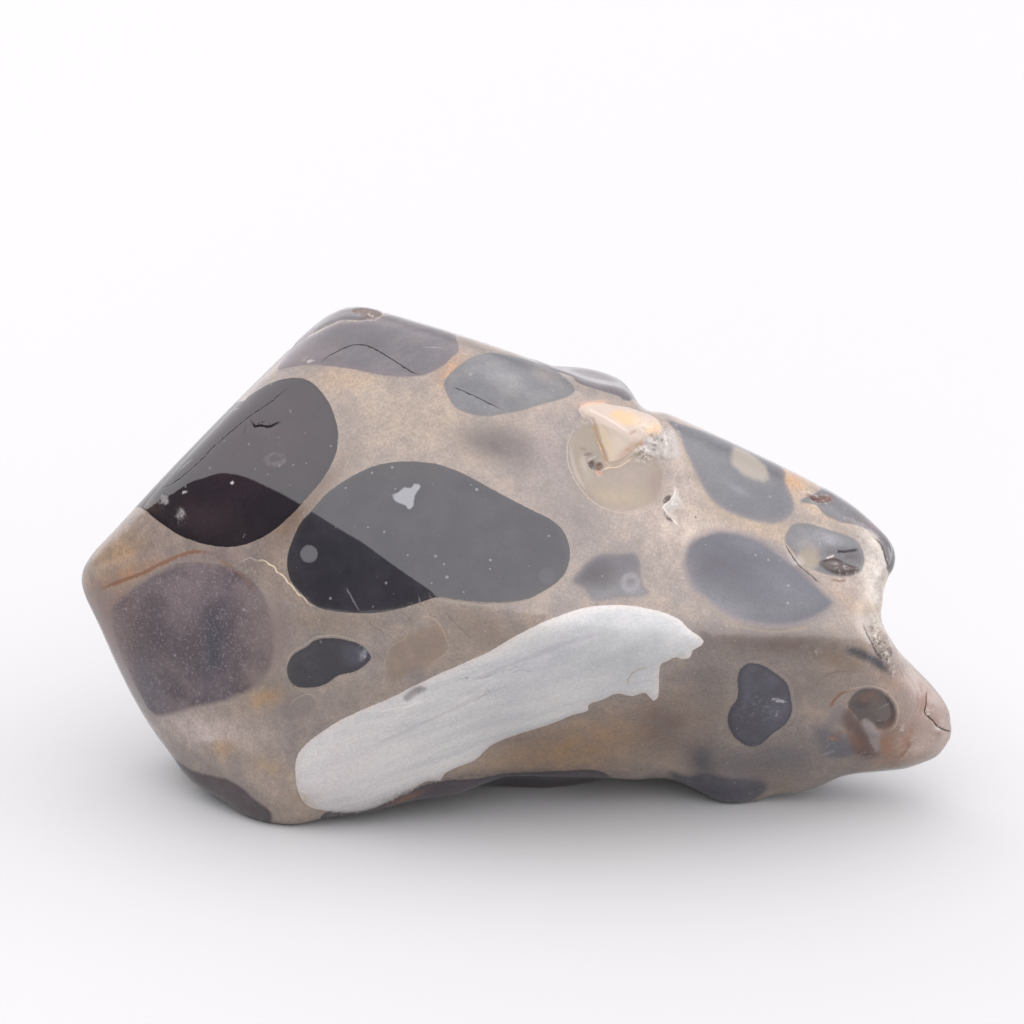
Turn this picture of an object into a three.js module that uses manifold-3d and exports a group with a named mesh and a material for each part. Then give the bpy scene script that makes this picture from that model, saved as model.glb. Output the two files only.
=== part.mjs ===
// A polished puddingstone: dark flint pebbles locked in a hard sandy cement, worn into one block.
// Millimetres. +X runs along the stone to its blunt nose, +Y to its back and +Z up.
// It stands on z = 0, with the middle of its bounding box over the origin.
import * as THREE from "three";
import { mergeVertices } from "three/addons/utils/BufferGeometryUtils.js";
import Module from "manifold-3d";

// Headings are degrees round +Z from the front (-Y), positive toward +X, and tilts are degrees
// above the horizontal. Both, like every distance, are taken from the heart of the stone.
const HEART_HEIGHT = 26; // above the surface that the stone stands on

const LATTICE_DETAIL = 20; // subdivisions of each icosahedron edge
const EDGE_SHARPNESS = 16; // higher keeps the worn edges between facets tighter

// The worn facets of the block, each a plane at a distance from the heart.
const FACETS = {
  upperFront: { heading: -14, tilt: 38, distance: 22.2 },
  shoulderFront: { heading: 17, tilt: 36, distance: 20.2 },
  leftBrow: { heading: -24, tilt: 20, distance: 23.8 },
  lowerFront: { heading: -3, tilt: -16, distance: 20.4 },
  leftCheek: { heading: -30, tilt: -9, distance: 25.6 },
  rightCheek: { heading: 10, tilt: -27, distance: 20.8 },
  leftSlope: { heading: -107, tilt: 42, distance: 35.8 },
  leftEnd: { heading: -86, tilt: -22, distance: 46.6 },
  leftKeel: { heading: -66, tilt: -50, distance: 41.4 },
  crown: { heading: 137, tilt: 66, distance: 25.9 },
  rightSlope: { heading: 122, tilt: 59, distance: 26 },
  rightEnd: { heading: 90, tilt: 0, distance: 44.8 },
  rightKeel: { heading: 37, tilt: -68, distance: 30 },
  backTop: { heading: 180, tilt: 28, distance: 26 },
  backLower: { heading: 176, tilt: -24, distance: 25 },
  backLeft: { heading: -146, tilt: 4, distance: 31 },
  backRight: { heading: 132, tilt: -4, distance: 33 },
  underside: { heading: 0, tilt: -90, distance: 25.2 },
};

// Rounded swells, and hollows where the height is negative. Reach is how far each fades, in degrees.
const SWELLS = {
  nose: { heading: 86, tilt: -19, reach: 9.5, height: 9.6 },
  neck: { heading: 88, tilt: -4, reach: 7, height: -2 },
  leftFoot: { heading: -69, tilt: -42, reach: 13, height: 3.4 },
  rightFoot: { heading: 82, tilt: -43, reach: 6.5, height: 4.8 },
  backFoot: { heading: 165, tilt: -66, reach: 19, height: 3 },
  arch: { heading: 17, tilt: -69, reach: 28, height: -4.8 },
  crater: { heading: 54, tilt: 45, reach: 10, height: -1.1 },
  lensHollow: { heading: 75, tilt: 10, reach: 6, height: -1.2 },
  crownPebble: { heading: 138, tilt: 52, reach: 10, height: 1.9 },
  backPebble: { heading: -158, tilt: 22, reach: 13, height: 1.2 },
  backHollow: { heading: 172, tilt: 8, reach: 16, height: -1.6 },
};

// The slab under the stone: cutting it away leaves the three small flats that the stone rests on.
const SLAB_SIDE = 200;
const SLAB_THICKNESS = 40;

const ROCK_COLOUR = 0xa89c88;
const POLISHED_ROUGHNESS = 0.18;
const MERGE_WITHIN = 1e-5; // vertices nearer than this are one

const wasm = await Module();
wasm.setup();

// The unit vector of a heading and tilt.
function direction({ heading, tilt }) {
  const across = Math.cos(THREE.MathUtils.degToRad(tilt));
  const turn = THREE.MathUtils.degToRad(heading);
  const up = Math.sin(THREE.MathUtils.degToRad(tilt));
  return new THREE.Vector3(across * Math.sin(turn), -across * Math.cos(turn), up);
}

const facets = Object.values(FACETS).map((facet) => ({
  normal: direction(facet),
  distance: facet.distance,
}));
const swells = Object.values(SWELLS).map((swell) => ({
  centre: direction(swell),
  reach: THREE.MathUtils.degToRad(swell.reach),
  height: swell.height,
}));

// Distance from the heart to the worn block along a unit ray: a smooth minimum over the facets.
function blockRadius(ray) {
  let sum = 0;
  for (const { normal, distance } of facets) {
    const slope = Math.max(0, ray.dot(normal)) / distance;
    sum += slope ** EDGE_SHARPNESS;
  }
  return sum ** (-1 / EDGE_SHARPNESS);
}

// What the swells and hollows add along a unit ray: each fades as a bell round its centre.
function swellHeight(ray) {
  let total = 0;
  for (const { centre, reach, height } of swells) {
    const away = ray.angleTo(centre) / reach;
    total += height * Math.exp(-away * away);
  }
  return total;
}

// A closed geometry with only its positions, and its shared vertices merged.
function closed(geometry) {
  geometry.deleteAttribute("normal");
  geometry.deleteAttribute("uv");
  return mergeVertices(geometry, MERGE_WITHIN);
}

// The surface of the stone round its heart: a fine ball drawn in or out along each ray.
function stoneSurface() {
  const surface = closed(new THREE.IcosahedronGeometry(1, LATTICE_DETAIL));
  const place = surface.attributes.position;
  const ray = new THREE.Vector3();
  for (let i = 0; i < place.count; i++) {
    ray.fromBufferAttribute(place, i).normalize();
    ray.multiplyScalar(blockRadius(ray) + swellHeight(ray));
    place.setXYZ(i, ray.x, ray.y, ray.z);
  }
  return surface;
}

// A closed geometry as a manifold-3d solid.
function solidOf(geometry) {
  return new wasm.Manifold(
    new wasm.Mesh({
      numProp: 3,
      vertProperties: new Float32Array(geometry.attributes.position.array),
      triVerts: new Uint32Array(geometry.index.array),
    }),
  );
}

// The slab, with its top face at the height that the stone stands on.
function floorSlab() {
  const slab = new THREE.BoxGeometry(SLAB_SIDE, SLAB_SIDE, SLAB_THICKNESS);
  slab.translate(0, 0, -HEART_HEIGHT - SLAB_THICKNESS / 2);
  return closed(slab);
}

// A solid as a three.js geometry.
function geometryOf(solid) {
  const { vertProperties, triVerts } = solid.getMesh();
  const geometry = new THREE.BufferGeometry();
  geometry.setAttribute("position", new THREE.BufferAttribute(vertProperties, 3));
  geometry.setIndex(new THREE.BufferAttribute(triVerts, 1));
  geometry.computeVertexNormals();
  return geometry;
}

// The finished stone, stood on z = 0 with the middle of its bounding box over the origin.
function puddingstone() {
  const geometry = geometryOf(solidOf(stoneSurface()).subtract(solidOf(floorSlab())));
  geometry.computeBoundingBox();
  const middle = geometry.boundingBox.getCenter(new THREE.Vector3());
  geometry.translate(-middle.x, -middle.y, HEART_HEIGHT);
  const rock = new THREE.MeshStandardMaterial({
    color: ROCK_COLOUR,
    roughness: POLISHED_ROUGHNESS,
    metalness: 0,
  });
  const mesh = new THREE.Mesh(geometry, rock);
  mesh.name = "puddingstone";
  return mesh;
}

const part = new THREE.Group();
part.add(puddingstone());

export default part;
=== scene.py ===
"""A polished puddingstone on a pale studio floor: flint pebbles of many tones in a sandy cement.

The stone is carved from a copy of its CAD solid, its pebbles are laid out on the surface as smooth
outlines, and one material polishes the flint, the cement, the cracks and the open hollows.
"""

import math
import random
from collections import namedtuple

import bpy
import numpy as np
from mathutils import Matrix, Vector, noise
from mathutils.bvhtree import BVHTree


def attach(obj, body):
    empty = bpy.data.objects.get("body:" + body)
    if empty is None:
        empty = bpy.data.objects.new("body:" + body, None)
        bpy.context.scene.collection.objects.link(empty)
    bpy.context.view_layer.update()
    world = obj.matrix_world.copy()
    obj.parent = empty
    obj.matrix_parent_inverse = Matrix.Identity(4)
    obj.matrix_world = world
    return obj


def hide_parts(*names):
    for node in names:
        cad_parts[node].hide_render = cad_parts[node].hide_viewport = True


bl_info = {
    "name": "Puddingstone",
    "version": (1, 0, 0),
    "blender": (4, 5, 0),
    "location": "View3D > Sidebar > Puddingstone",
    "description": "Builds a polished puddingstone and the small studio that it stands in",
    "category": "Object",
}

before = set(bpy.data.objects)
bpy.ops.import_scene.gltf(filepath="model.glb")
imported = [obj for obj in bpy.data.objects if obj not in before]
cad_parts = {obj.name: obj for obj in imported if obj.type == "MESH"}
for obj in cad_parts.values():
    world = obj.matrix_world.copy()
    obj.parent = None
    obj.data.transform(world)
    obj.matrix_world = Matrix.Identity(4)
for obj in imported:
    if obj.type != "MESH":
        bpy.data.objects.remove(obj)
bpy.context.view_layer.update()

NODE = "puddingstone"
MM = 0.001

# The heart of the stone, from which its facets are laid out, and the line of sight on its face.
HEART = np.array((-2.474, -2.862, 26.0))  # millimetres in the stone's own frame
SIGHT_TILT = math.radians(18)  # how far the sight line looks down
SIGHT_DISTANCE = 340.0  # millimetres from the sight point to the heart, along the sight line
SIGHT_ASIDE = 1.39  # the sight line passes this far to the right of the heart
SIGHT_ABOVE = 7.86  # and this far above it
SIGHT_SPAN = 118.4  # width of the square view at the heart, in millimetres

ACROSS = np.array((1.0, 0.0, 0.0))
UPWARD = np.array((0.0, math.sin(SIGHT_TILT), math.cos(SIGHT_TILT)))
TOWARD = np.array((0.0, -math.cos(SIGHT_TILT), math.sin(SIGHT_TILT)))
SIGHT = HEART + SIGHT_ASIDE * ACROSS + SIGHT_ABOVE * UPWARD + SIGHT_DISTANCE * TOWARD

# Places on the stone are (across, up) in millimetres on the plane through the heart that is square
# to the sight line, carried to the surface along the line from the sight point. A third number is a
# depth behind that plane: such a place lies where the ray from the heart through it leaves the stone.

FAR = 6.0  # millimetres: distances beyond this are all the same to the finish


def tone(red, green, blue, *strength):
    """A colour as it looks on a screen, 0 to 255, made linear for shaders, perhaps with a strength."""
    linear = []
    for value in (red, green, blue):
        share = value / 255
        linear.append(share / 12.92 if share <= 0.04045 else ((share + 0.055) / 1.055) ** 2.4)
    return (*linear, *strength)


# What a pebble is made of: its body, the clouds in it and its inner rim, the two last with a strength
# as a fourth number; how many pale specks it holds (over 1 it sparkles all over), how drawn out its
# clouds are, and how rough its polish is.
Flint = namedtuple("Flint", "body cloud rim specks streak gloss")
FLINTS = {
    "black": Flint(tone(30, 26, 30), tone(42, 36, 40, 0.6), tone(24, 22, 25, 0.4), 0.5, 0, 0.02),
    "smoke": Flint(tone(42, 41, 45), tone(54, 52, 57, 0.6), tone(58, 53, 53, 0.35), 0.9, 0, 0.02),
    "grey": Flint(tone(76, 72, 76), tone(94, 88, 91, 0.8), tone(92, 80, 82, 0.5), 0.4, 0.4, 0.04),
    "mist": Flint(tone(79, 79, 82), tone(98, 97, 97, 0.8), tone(88, 84, 84, 0.5), 0.8, 0.2, 0.05),
    "blue": Flint(tone(78, 78, 82), tone(89, 89, 92, 0.7), tone(96, 89, 91, 0.6), 0.5, 0.3, 0.05),
    "steel": Flint(tone(62, 61, 68), tone(73, 73, 79, 0.7), tone(100, 92, 94, 0.8), 0.9, 0.2, 0.04),
    "ink": Flint(tone(34, 32, 37), tone(52, 51, 60, 0.6), tone(28, 26, 31, 0.6), 0.4, 0, 0.05),
    "slate": Flint(tone(54, 51, 58), tone(72, 71, 80, 0.6), tone(42, 39, 46, 0.5), 0.5, 0, 0.06),
    "umber": Flint(tone(60, 51, 54), tone(74, 64, 67, 0.6), tone(46, 39, 42, 0.4), 0.4, 0, 0.06),
    "haze": Flint(tone(66, 63, 68), tone(82, 79, 84, 0.6), tone(88, 82, 83, 0.7), 0.5, 0, 0.08),
    "plum": Flint(tone(62, 52, 57), tone(96, 84, 86, 0.8), tone(98, 84, 86, 0), 2, 0, 0.12),
    "white": Flint(tone(175, 172, 170), tone(156, 157, 158, 0.7), tone(172, 162, 156, 0.5), 0, 1, 0.2),
    "brown": Flint(tone(82, 77, 79), tone(100, 95, 98, 0.8), tone(64, 58, 60, 0.5), 0.4, 0.3, 0.16),
    "ghost": Flint(tone(110, 101, 96), tone(122, 110, 102, 0.6), tone(100, 92, 86, 0.2), 0.2, 0, 0.16),
}

# A pebble: what it is made of, how softly it meets the cement, how far it stands proud of it and how
# deep the groove round it is, all in millimetres, and its outline.
Pebble = namedtuple("Pebble", "flint soft proud groove outline")
PEBBLES = {
    "left_flint": Pebble("black", 0.05, 0, 0, [
        (-41.9, 8.7), (-41.4, 8.3), (-40.4, 7.5), (-39.2, 6.6), (-38, 5.75), (-36.8, 5.05), (-35.4, 4.5),
        (-34, 4.1), (-31.6, 3.8), (-29.2, 4.2), (-26.8, 5.3), (-24.9, 6.8), (-23, 8.7), (-20.7, 11.4),
        (-19.2, 14), (-18.7, 16.3), (-19, 18.5), (-19.9, 20.7), (-21.7, 22.8), (-23.7, 23.4), (-26.4, 22.8),
        (-28.9, 21.4), (-30.2, 20.6), (-32, 19.5, 3), (-35.5, 16, 4), (-39, 12.3, 3),
    ]),
    "big_flint": Pebble("smoke", 0.05, 0, 0, [
        (-24.6, 2.5), (-24, 4.6), (-23, 6.7), (-21.6, 8.3), (-19.8, 10.2), (-17.1, 12), (-14.5, 13.2),
        (-11.3, 13.7), (-7.8, 13.5), (-4.9, 12.6), (-2.5, 11.4), (0.4, 9.8), (3.3, 8.3), (5.7, 7.1),
        (7.3, 5.7), (8.1, 3.5), (7.8, 1.4), (7, 0.1), (5.2, -1.2), (2.8, -2.3), (-1.2, -2.6), (-4.7, -2.3),
        (-7.2, -2), (-9.2, -2.6), (-11.8, -3.4), (-14.5, -3.8), (-17.1, -3.8), (-19.8, -3.5), (-21.4, -3),
        (-23, -1.6), (-24.3, 0.1),
    ]),
    "crest_grey": Pebble("grey", 0.1, 0.03, 0.02, [
        (-25.7, 24.4), (-24, 26.8), (-21.7, 28.3), (-20, 29.2), (-18.4, 29.8), (-15.7, 29.95),
        (-13.5, 30.6), (-8.9, 29.4, 3), (-6.2, 28.5, 3), (-4.9, 27.4), (-4.8, 26.5), (-5.5, 25.8),
        (-6.7, 24.7), (-8.9, 23.7), (-11.8, 23.5), (-14.3, 23.8), (-17.2, 24.4), (-20.7, 24.8),
        (-22.9, 24.8),
    ]),
    "pale_blue": Pebble("mist", 0.12, 0.02, 0, [
        (-6.5, 22.8), (-5.6, 24), (-3.8, 25.5), (-1.3, 26.3), (1.2, 26), (4.2, 25.2), (6.7, 24),
        (8.4, 22.5), (8.6, 21.8), (7.4, 21), (4.7, 20.3), (2.2, 19.5), (0.2, 19.2), (-1.8, 18.9),
        (-3.8, 19.3), (-5.2, 20), (-6, 21.3),
    ]),
    "plum": Pebble("plum", 0.45, 0, 0, [
        (-44.8, -3.6), (-43.4, -1.8), (-41.4, -0.3), (-39.1, 1), (-36.3, 1.9), (-31.8, 1.5), (-28.4, -0.4),
        (-26.4, -4.2), (-26.4, -9.5), (-29.5, -13), (-35.1, -14.6), (-39.9, -15.6), (-41.8, -12.9),
        (-43.4, -9.8), (-44.6, -6.6),
    ]),
    "small_slate": Pebble("ink", 0.08, 0.06, 0.16, [
        (-24.7, -10.6), (-24.1, -8.8), (-22.5, -7.8), (-21.2, -6.9), (-18.7, -6.8), (-16.2, -7.5),
        (-15, -8.8), (-15.2, -9.5), (-16.7, -10.6), (-18.7, -11.1), (-20.2, -12.1), (-22, -12.5),
        (-23.9, -12.2),
    ]),
    "keel_slate": Pebble("umber", 0.3, 0.05, 0.05, [
        (-37.7, -20.6), (-35.1, -22.2), (-31.4, -23.1), (-28.7, -25), (-26.4, -27.3), (-27, -29, 3),
        (-31, -27, 6), (-35.5, -24, 6),
    ]),
    "white": Pebble("white", 0.04, 0.08, 0.1, [
        (-23.6, -20.8), (-22.5, -19.1), (-20.9, -17.8), (-18.9, -16.5), (-16, -15.1), (-13.1, -13.9),
        (-10.2, -12.5), (-7.3, -11), (-4.3, -9.7), (-1.4, -8.4), (1.5, -6.7), (4.4, -5.2), (7, -4.1),
        (9.9, -3.2), (12.8, -2.9), (15.4, -3), (18.4, -3.6), (20.6, -4.5), (21.9, -5.7), (23.6, -7.2),
        (21.9, -8.4), (22.4, -8.7), (21.4, -9.2), (20.3, -9), (19.3, -9.5), (18.6, -9.8), (18.4, -11.2),
        (18.4, -12.8), (18.1, -14), (17.5, -13.8), (16.7, -13.1), (15.3, -13.5), (13.5, -13.2),
        (11.9, -13.9), (10.3, -14.4), (10.1, -15.2), (8.3, -15.7), (6.7, -16.4), (4.4, -17.2), (1.8, -18),
        (-1.1, -19.3), (-2.7, -20.8), (-4.7, -21.6), (-6.3, -22.4), (-6.9, -23.2), (-8.6, -23.4),
        (-11.2, -24.9), (-14.7, -26.4), (-18, -26.9), (-21.9, -26.3), (-23.4, -24.2),
    ]),
    "ring": Pebble("haze", 0.35, 0, 0, [
        (8.4, -0.2), (9.2, 1.1), (10.7, 2.6), (12.5, 3.1), (15.5, 3.2), (16.2, 2.3), (16.3, 1.1),
        (16.5, -0.4), (17.2, -1.4), (16.2, -1.9), (13.2, -2.1), (10.9, -2.3), (9.9, -1.2),
    ]),
    "right_oval": Pebble("steel", 0.6, 0.03, 0, [
        (21.2, 1.8), (21.5, 3.8), (23, 5.2), (25.5, 5.8), (28.5, 5.3), (31, 4.2), (33.5, 2.3), (35.8, 0.4),
        (37.5, -1.3), (38.8, -2.7), (37, -4.3), (34, -5.3), (30.8, -5.4), (27.5, -4.6), (24.5, -2.9),
        (22.2, -0.9),
    ]),
    "upper_right": Pebble("blue", 0.3, 0.02, 0, [
        (19.3, 18.6), (19.6, 18.1), (21, 16.1), (22, 13.8), (23, 11.6), (24.5, 9.3), (26.5, 7.8), (29, 7),
        (31, 6.6), (32.5, 6.8), (33.5, 7.4), (34, 8.3), (33.8, 9.5), (33.3, 10.6), (32.9, 11.8),
        (32.6, 13.1), (32, 13.7), (29, 15), (25.5, 16.5), (22, 17.7),
    ]),
    "shoulder": Pebble("mist", 0.15, 0.06, 0.08, [
        (35.3, 9.6), (36.7, 8.7), (37.5, 7.6), (39.2, 6.8), (40.6, 6.5), (41.8, 6.2), (43.4, 5.2),
        (44.2, 4.3), (44.6, 2.7), (44.9, 2.4), (45, 0.9), (44.6, -1.3), (45.4, 1.2, 4), (44, 6, 7),
        (39, 10.5, 7), (36, 11, 3),
    ]),
    "lens": Pebble("mist", 0.15, 0, 0.08, [
        (33, 4.9), (33.9, 6.4), (35.5, 6.6), (37.8, 5.9), (40.1, 5.3), (41.4, 4.5), (42.1, 3.3),
        (42.1, 1.8), (41.5, 0.9), (40.1, 0.5), (38.3, 0.6), (36.8, 1.1), (35, 2.2), (33.7, 3.7),
    ]),
    "bean": Pebble("slate", 0.08, 0.06, 0.18, [
        (26.3, -16.2), (26.7, -14.9), (27.5, -13.6), (27.5, -11.3), (28, -10.2), (28.9, -9.7), (30.3, -9.9),
        (31.8, -10.8), (33.2, -12), (33.6, -13.4), (33.8, -15.1), (33.1, -16.7), (31.5, -17.9),
        (30.1, -19.1), (28.8, -19.3), (27.3, -18.4), (26.6, -17.4),
    ]),
    "foot_slate": Pebble("haze", 0.6, 0, 0, [
        (21.4, -22.6), (23, -22.1), (25, -22.4), (28, -22.8), (30.6, -23.2), (31.5, -25, 2), (27, -27, 5),
        (22.5, -26, 5), (21, -24),
    ]),
    "peak_brown": Pebble("brown", 0.08, 0.04, 0.14, [
        (-23.9, 27), (-21.8, 28.5), (-20, 29.5), (-18.4, 30.1), (-15.7, 30.2), (-13.7, 30.9),
        (-14, 31.5, 5), (-18, 31, 7), (-22.5, 28, 4),
    ]),
    "crown_smoke": Pebble("brown", 0.08, 0.08, 0.03, [
        (1, 27, 8), (4.2, 25.3), (8.2, 23.6), (8.9, 22.9), (11.9, 21.8), (13.6, 21.3), (15.1, 20.8),
        (16, 20.5), (17.2, 21, 6), (17, 21.8, 10), (12, 24, 13), (6, 26, 12),
    ]),
    "under_slate": Pebble("umber", 0.12, 0.05, 0.05, [
        (-20.5, -27.1), (-17.3, -26.95), (-14, -26.2), (-11.3, -24.9), (-8.6, -23.7), (-5.3, -23.1),
        (-1.2, -22.7), (2.5, -22.3), (7, -22.1), (12.4, -22.5), (12, -24, 10), (4, -25, 16), (-6, -25, 14),
        (-14, -27, 8), (-19, -28, 3),
    ]),
}

# Pebbles of the hidden sides: their half lengths in millimetres, largest first, and how often each
# kind of flint turns up.
HIDDEN_SIZES = (15, 13, 12, 11, 10, 9, 9, 8, 8, 7, 7, 6, 6, 5.5, 5.5, 5, 5, 4.5, 4.5, 4, 4, 3.5, 3.5,
                3, 3, 2.6, 2.6, 2.2, 2.2, 2, 2, 1.7, 1.7, 1.5)
HIDDEN_FLINTS = ("black", "smoke", "smoke", "grey", "blue", "steel", "slate", "ink", "plum", "white",
                 "brown", "ghost", "ghost")
HIDDEN_GAP = 0.9  # millimetres between neighbours at least
HIDDEN_DEPTH = 1.0  # millimetres that such a pebble lies behind the visible surface at least
HIDDEN_TRIES = 90  # for each pebble, before it is left out
HIDDEN_EDGES = (0.05, 0.08, 0.2)  # how softly it may meet the cement
HIDDEN_GROOVES = (0, 0.03, 0.12)
HIDDEN_PROUD = 0.04

DISC_POINTS = 12  # in the outline of an oval mark


def disc(across, up, reach, rise=None, turn=0):
    """An oval outline round a place: its half length and half height, turned in degrees."""
    rise = rise or reach
    lean = math.radians(turn)
    places = []
    for number in range(DISC_POINTS):
        angle = 2 * math.pi * number / DISC_POINTS
        x, y = reach * math.cos(angle), rise * math.sin(angle)
        places.append((across + x * math.cos(lean) - y * math.sin(lean),
                       up + x * math.sin(lean) + y * math.cos(lean)))
    return places


# A mark over flint or cement: its colour with a strength, how soft its edge is and how far it stands
# up (or, below 0, lies sunk), both in millimetres, its roughness, its outline and perhaps a hole.
# The marks lie in three layers, each over the one before.
Mark = namedtuple("Mark", "colour soft lift rough outline hole", defaults=(None,))
UNDER_MARKS = [
    Mark(tone(117, 106, 91, 0.75), 0.2, -0.08, 0.18, [  # floor of the crater
        (8.3, 16.2), (8, 15.4), (8.3, 13.5), (9, 11.6), (10, 10.3), (11.3, 9.2), (12.7, 8.4), (14.8, 8.1),
        (16.2, 8.3), (17.3, 8.8), (18.3, 9.9), (18.7, 11.5), (18.5, 13.2), (17.6, 14.6), (15.5, 15.8),
        (13, 17.2), (10.8, 18), (9.2, 17.6),
    ]),
    Mark(tone(136, 127, 116, 0.75), 0.5, 0, 0.2, [  # cement caught in the upper right pebble
        (27, 15.4), (28.5, 14.8), (30.2, 13.6), (31, 12.3), (30.8, 11.5), (29.5, 11.6), (28, 12.3),
        (26.7, 13.8),
    ]),
    Mark(tone(128, 128, 132, 0.85), 0.1, 0, 0.1, [  # chalky patch in the big flint
        (-12.5, 9.8), (-11.7, 10.1), (-11.2, 10.7), (-10.4, 10.6), (-9.7, 11.2), (-9.2, 10.8), (-9.6, 10.2),
        (-9.9, 9.6), (-10, 8.6), (-10.5, 8.2), (-11, 8.7), (-11.9, 9),
    ]),
    Mark(tone(90, 88, 91, 0.9), 0.1, 0, 0.05, disc(-22.1, 3, 1.02)),
    Mark(tone(120, 115, 118, 0.6), 0.3, 0, 0.1, disc(15.1, -0.3, 1.15), disc(15.1, -0.3, 0.55)),
    Mark(tone(112, 106, 108, 0.8), 0.15, -0.1, 0.4, disc(-38.8, 9.3, 0.35, 0.75, 25)),
    Mark(tone(92, 82, 84, 0.5), 0.2, 0, 0.1, disc(-26, 13.9, 1.3, 0.8), disc(-26, 14, 0.9, 0.4)),
    Mark(tone(112, 106, 106, 0.8), 0.3, -0.25, 0.2, [  # groove in the white pebble
        (-11.2, -13.6), (-10.2, -12.8), (-8.9, -12.3), (-8.6, -12.7), (-9.5, -13.3), (-10.7, -14),
    ]),
    Mark(tone(134, 121, 102, 0.7), 0.5, -0.1, 0.2, [  # honey pool in the lens
        (34.4, 3), (35.2, 3.6), (36.4, 3.5), (37, 2.7), (36.9, 1.9), (36.2, 1.4), (35.2, 2),
    ]),
    Mark(tone(134, 118, 110, 0.55), 1.6, 0, 0.42, [  # the nose, dulled by wear
        (46.8, -8.5), (48.4, -10.4), (50.2, -12.4), (51.6, -14.6), (52.4, -17.2), (51.6, -19.6),
        (49, -20.6), (47.6, -18), (47.2, -14), (46.2, -11),
    ]),
    Mark(tone(66, 68, 78, 0.7), 0.8, 0, 0.2, [  # blue clay beside the hook
        (36.2, -17.5), (37.2, -17), (38.6, -17.4), (40.3, -18.2), (41.2, -19.4), (40.6, -20.4),
        (38.9, -20.6), (37.3, -20),
    ]),
    Mark(tone(98, 90, 94, 0.6), 0.4, 0, 0.2, [  # lilac clay beside the hook
        (38.2, -15.4), (39.4, -14.4), (40.2, -15.2), (39.8, -16.3), (38.6, -16.5),
    ]),
    Mark(tone(36, 38, 48, 0.92), 0.45, -0.05, 0.15, [  # dark clay under the neck
        (40.1, -7.8), (41.7, -8), (43, -8.7), (44.3, -9.5), (45.2, -10.8), (44.2, -10.6), (42.8, -9.7),
        (41.4, -9), (40.4, -8.5),
    ]),
    Mark(tone(64, 62, 66, 0.5), 0.15, 0, 0.05, disc(5.4, 0.5, 0.95)),
    Mark(tone(112, 95, 80, 0.6), 0.5, 0, 0.22, [  # amber cement
        (-13.1, -10.7), (-12.5, -7.5), (-10.2, -6.2), (-6.9, -5.2), (-6, -7.5), (-7.3, -9.4), (-9.9, -10.4),
        (-12.5, -11.7),
    ]),
    Mark(tone(100, 92, 88, 0.6), 0.4, 0, 0.2, [  # a pebble just under the surface
        (-25.5, -14.6), (-24.5, -13.4), (-22.5, -13.1), (-21.4, -14.1), (-22, -15.4), (-23.7, -16.2),
        (-25.2, -15.8),
    ]),
    Mark(tone(94, 66, 56, 0.85), 0.2, -0.5, 0.5, [  # slot over the shoulder
        (35.4, 10.1), (36.3, 9.9), (37.2, 9.9), (38.2, 9.8), (38.5, 9.2), (37.2, 9.1), (36.2, 9.3),
    ]),
    Mark(tone(92, 78, 72, 0.9), 0.12, -0.4, 0.6, [  # pit at the peak
        (-17.2, 31.1), (-15.7, 31.4), (-14.3, 31.1), (-13.5, 30.8), (-14.3, 30.4), (-15.2, 30.3),
        (-16.3, 30.7),
    ]),
    Mark(tone(148, 142, 138, 0.7), 0.5, 0, 0.35, [  # bruised ground right of the crater
        (15.8, 15.2), (17, 16.4), (18.8, 17.6), (20, 17.4), (20.8, 15.6), (20.4, 14.2), (18.8, 14.4),
        (17.2, 14.2),
    ]),
]
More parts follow.
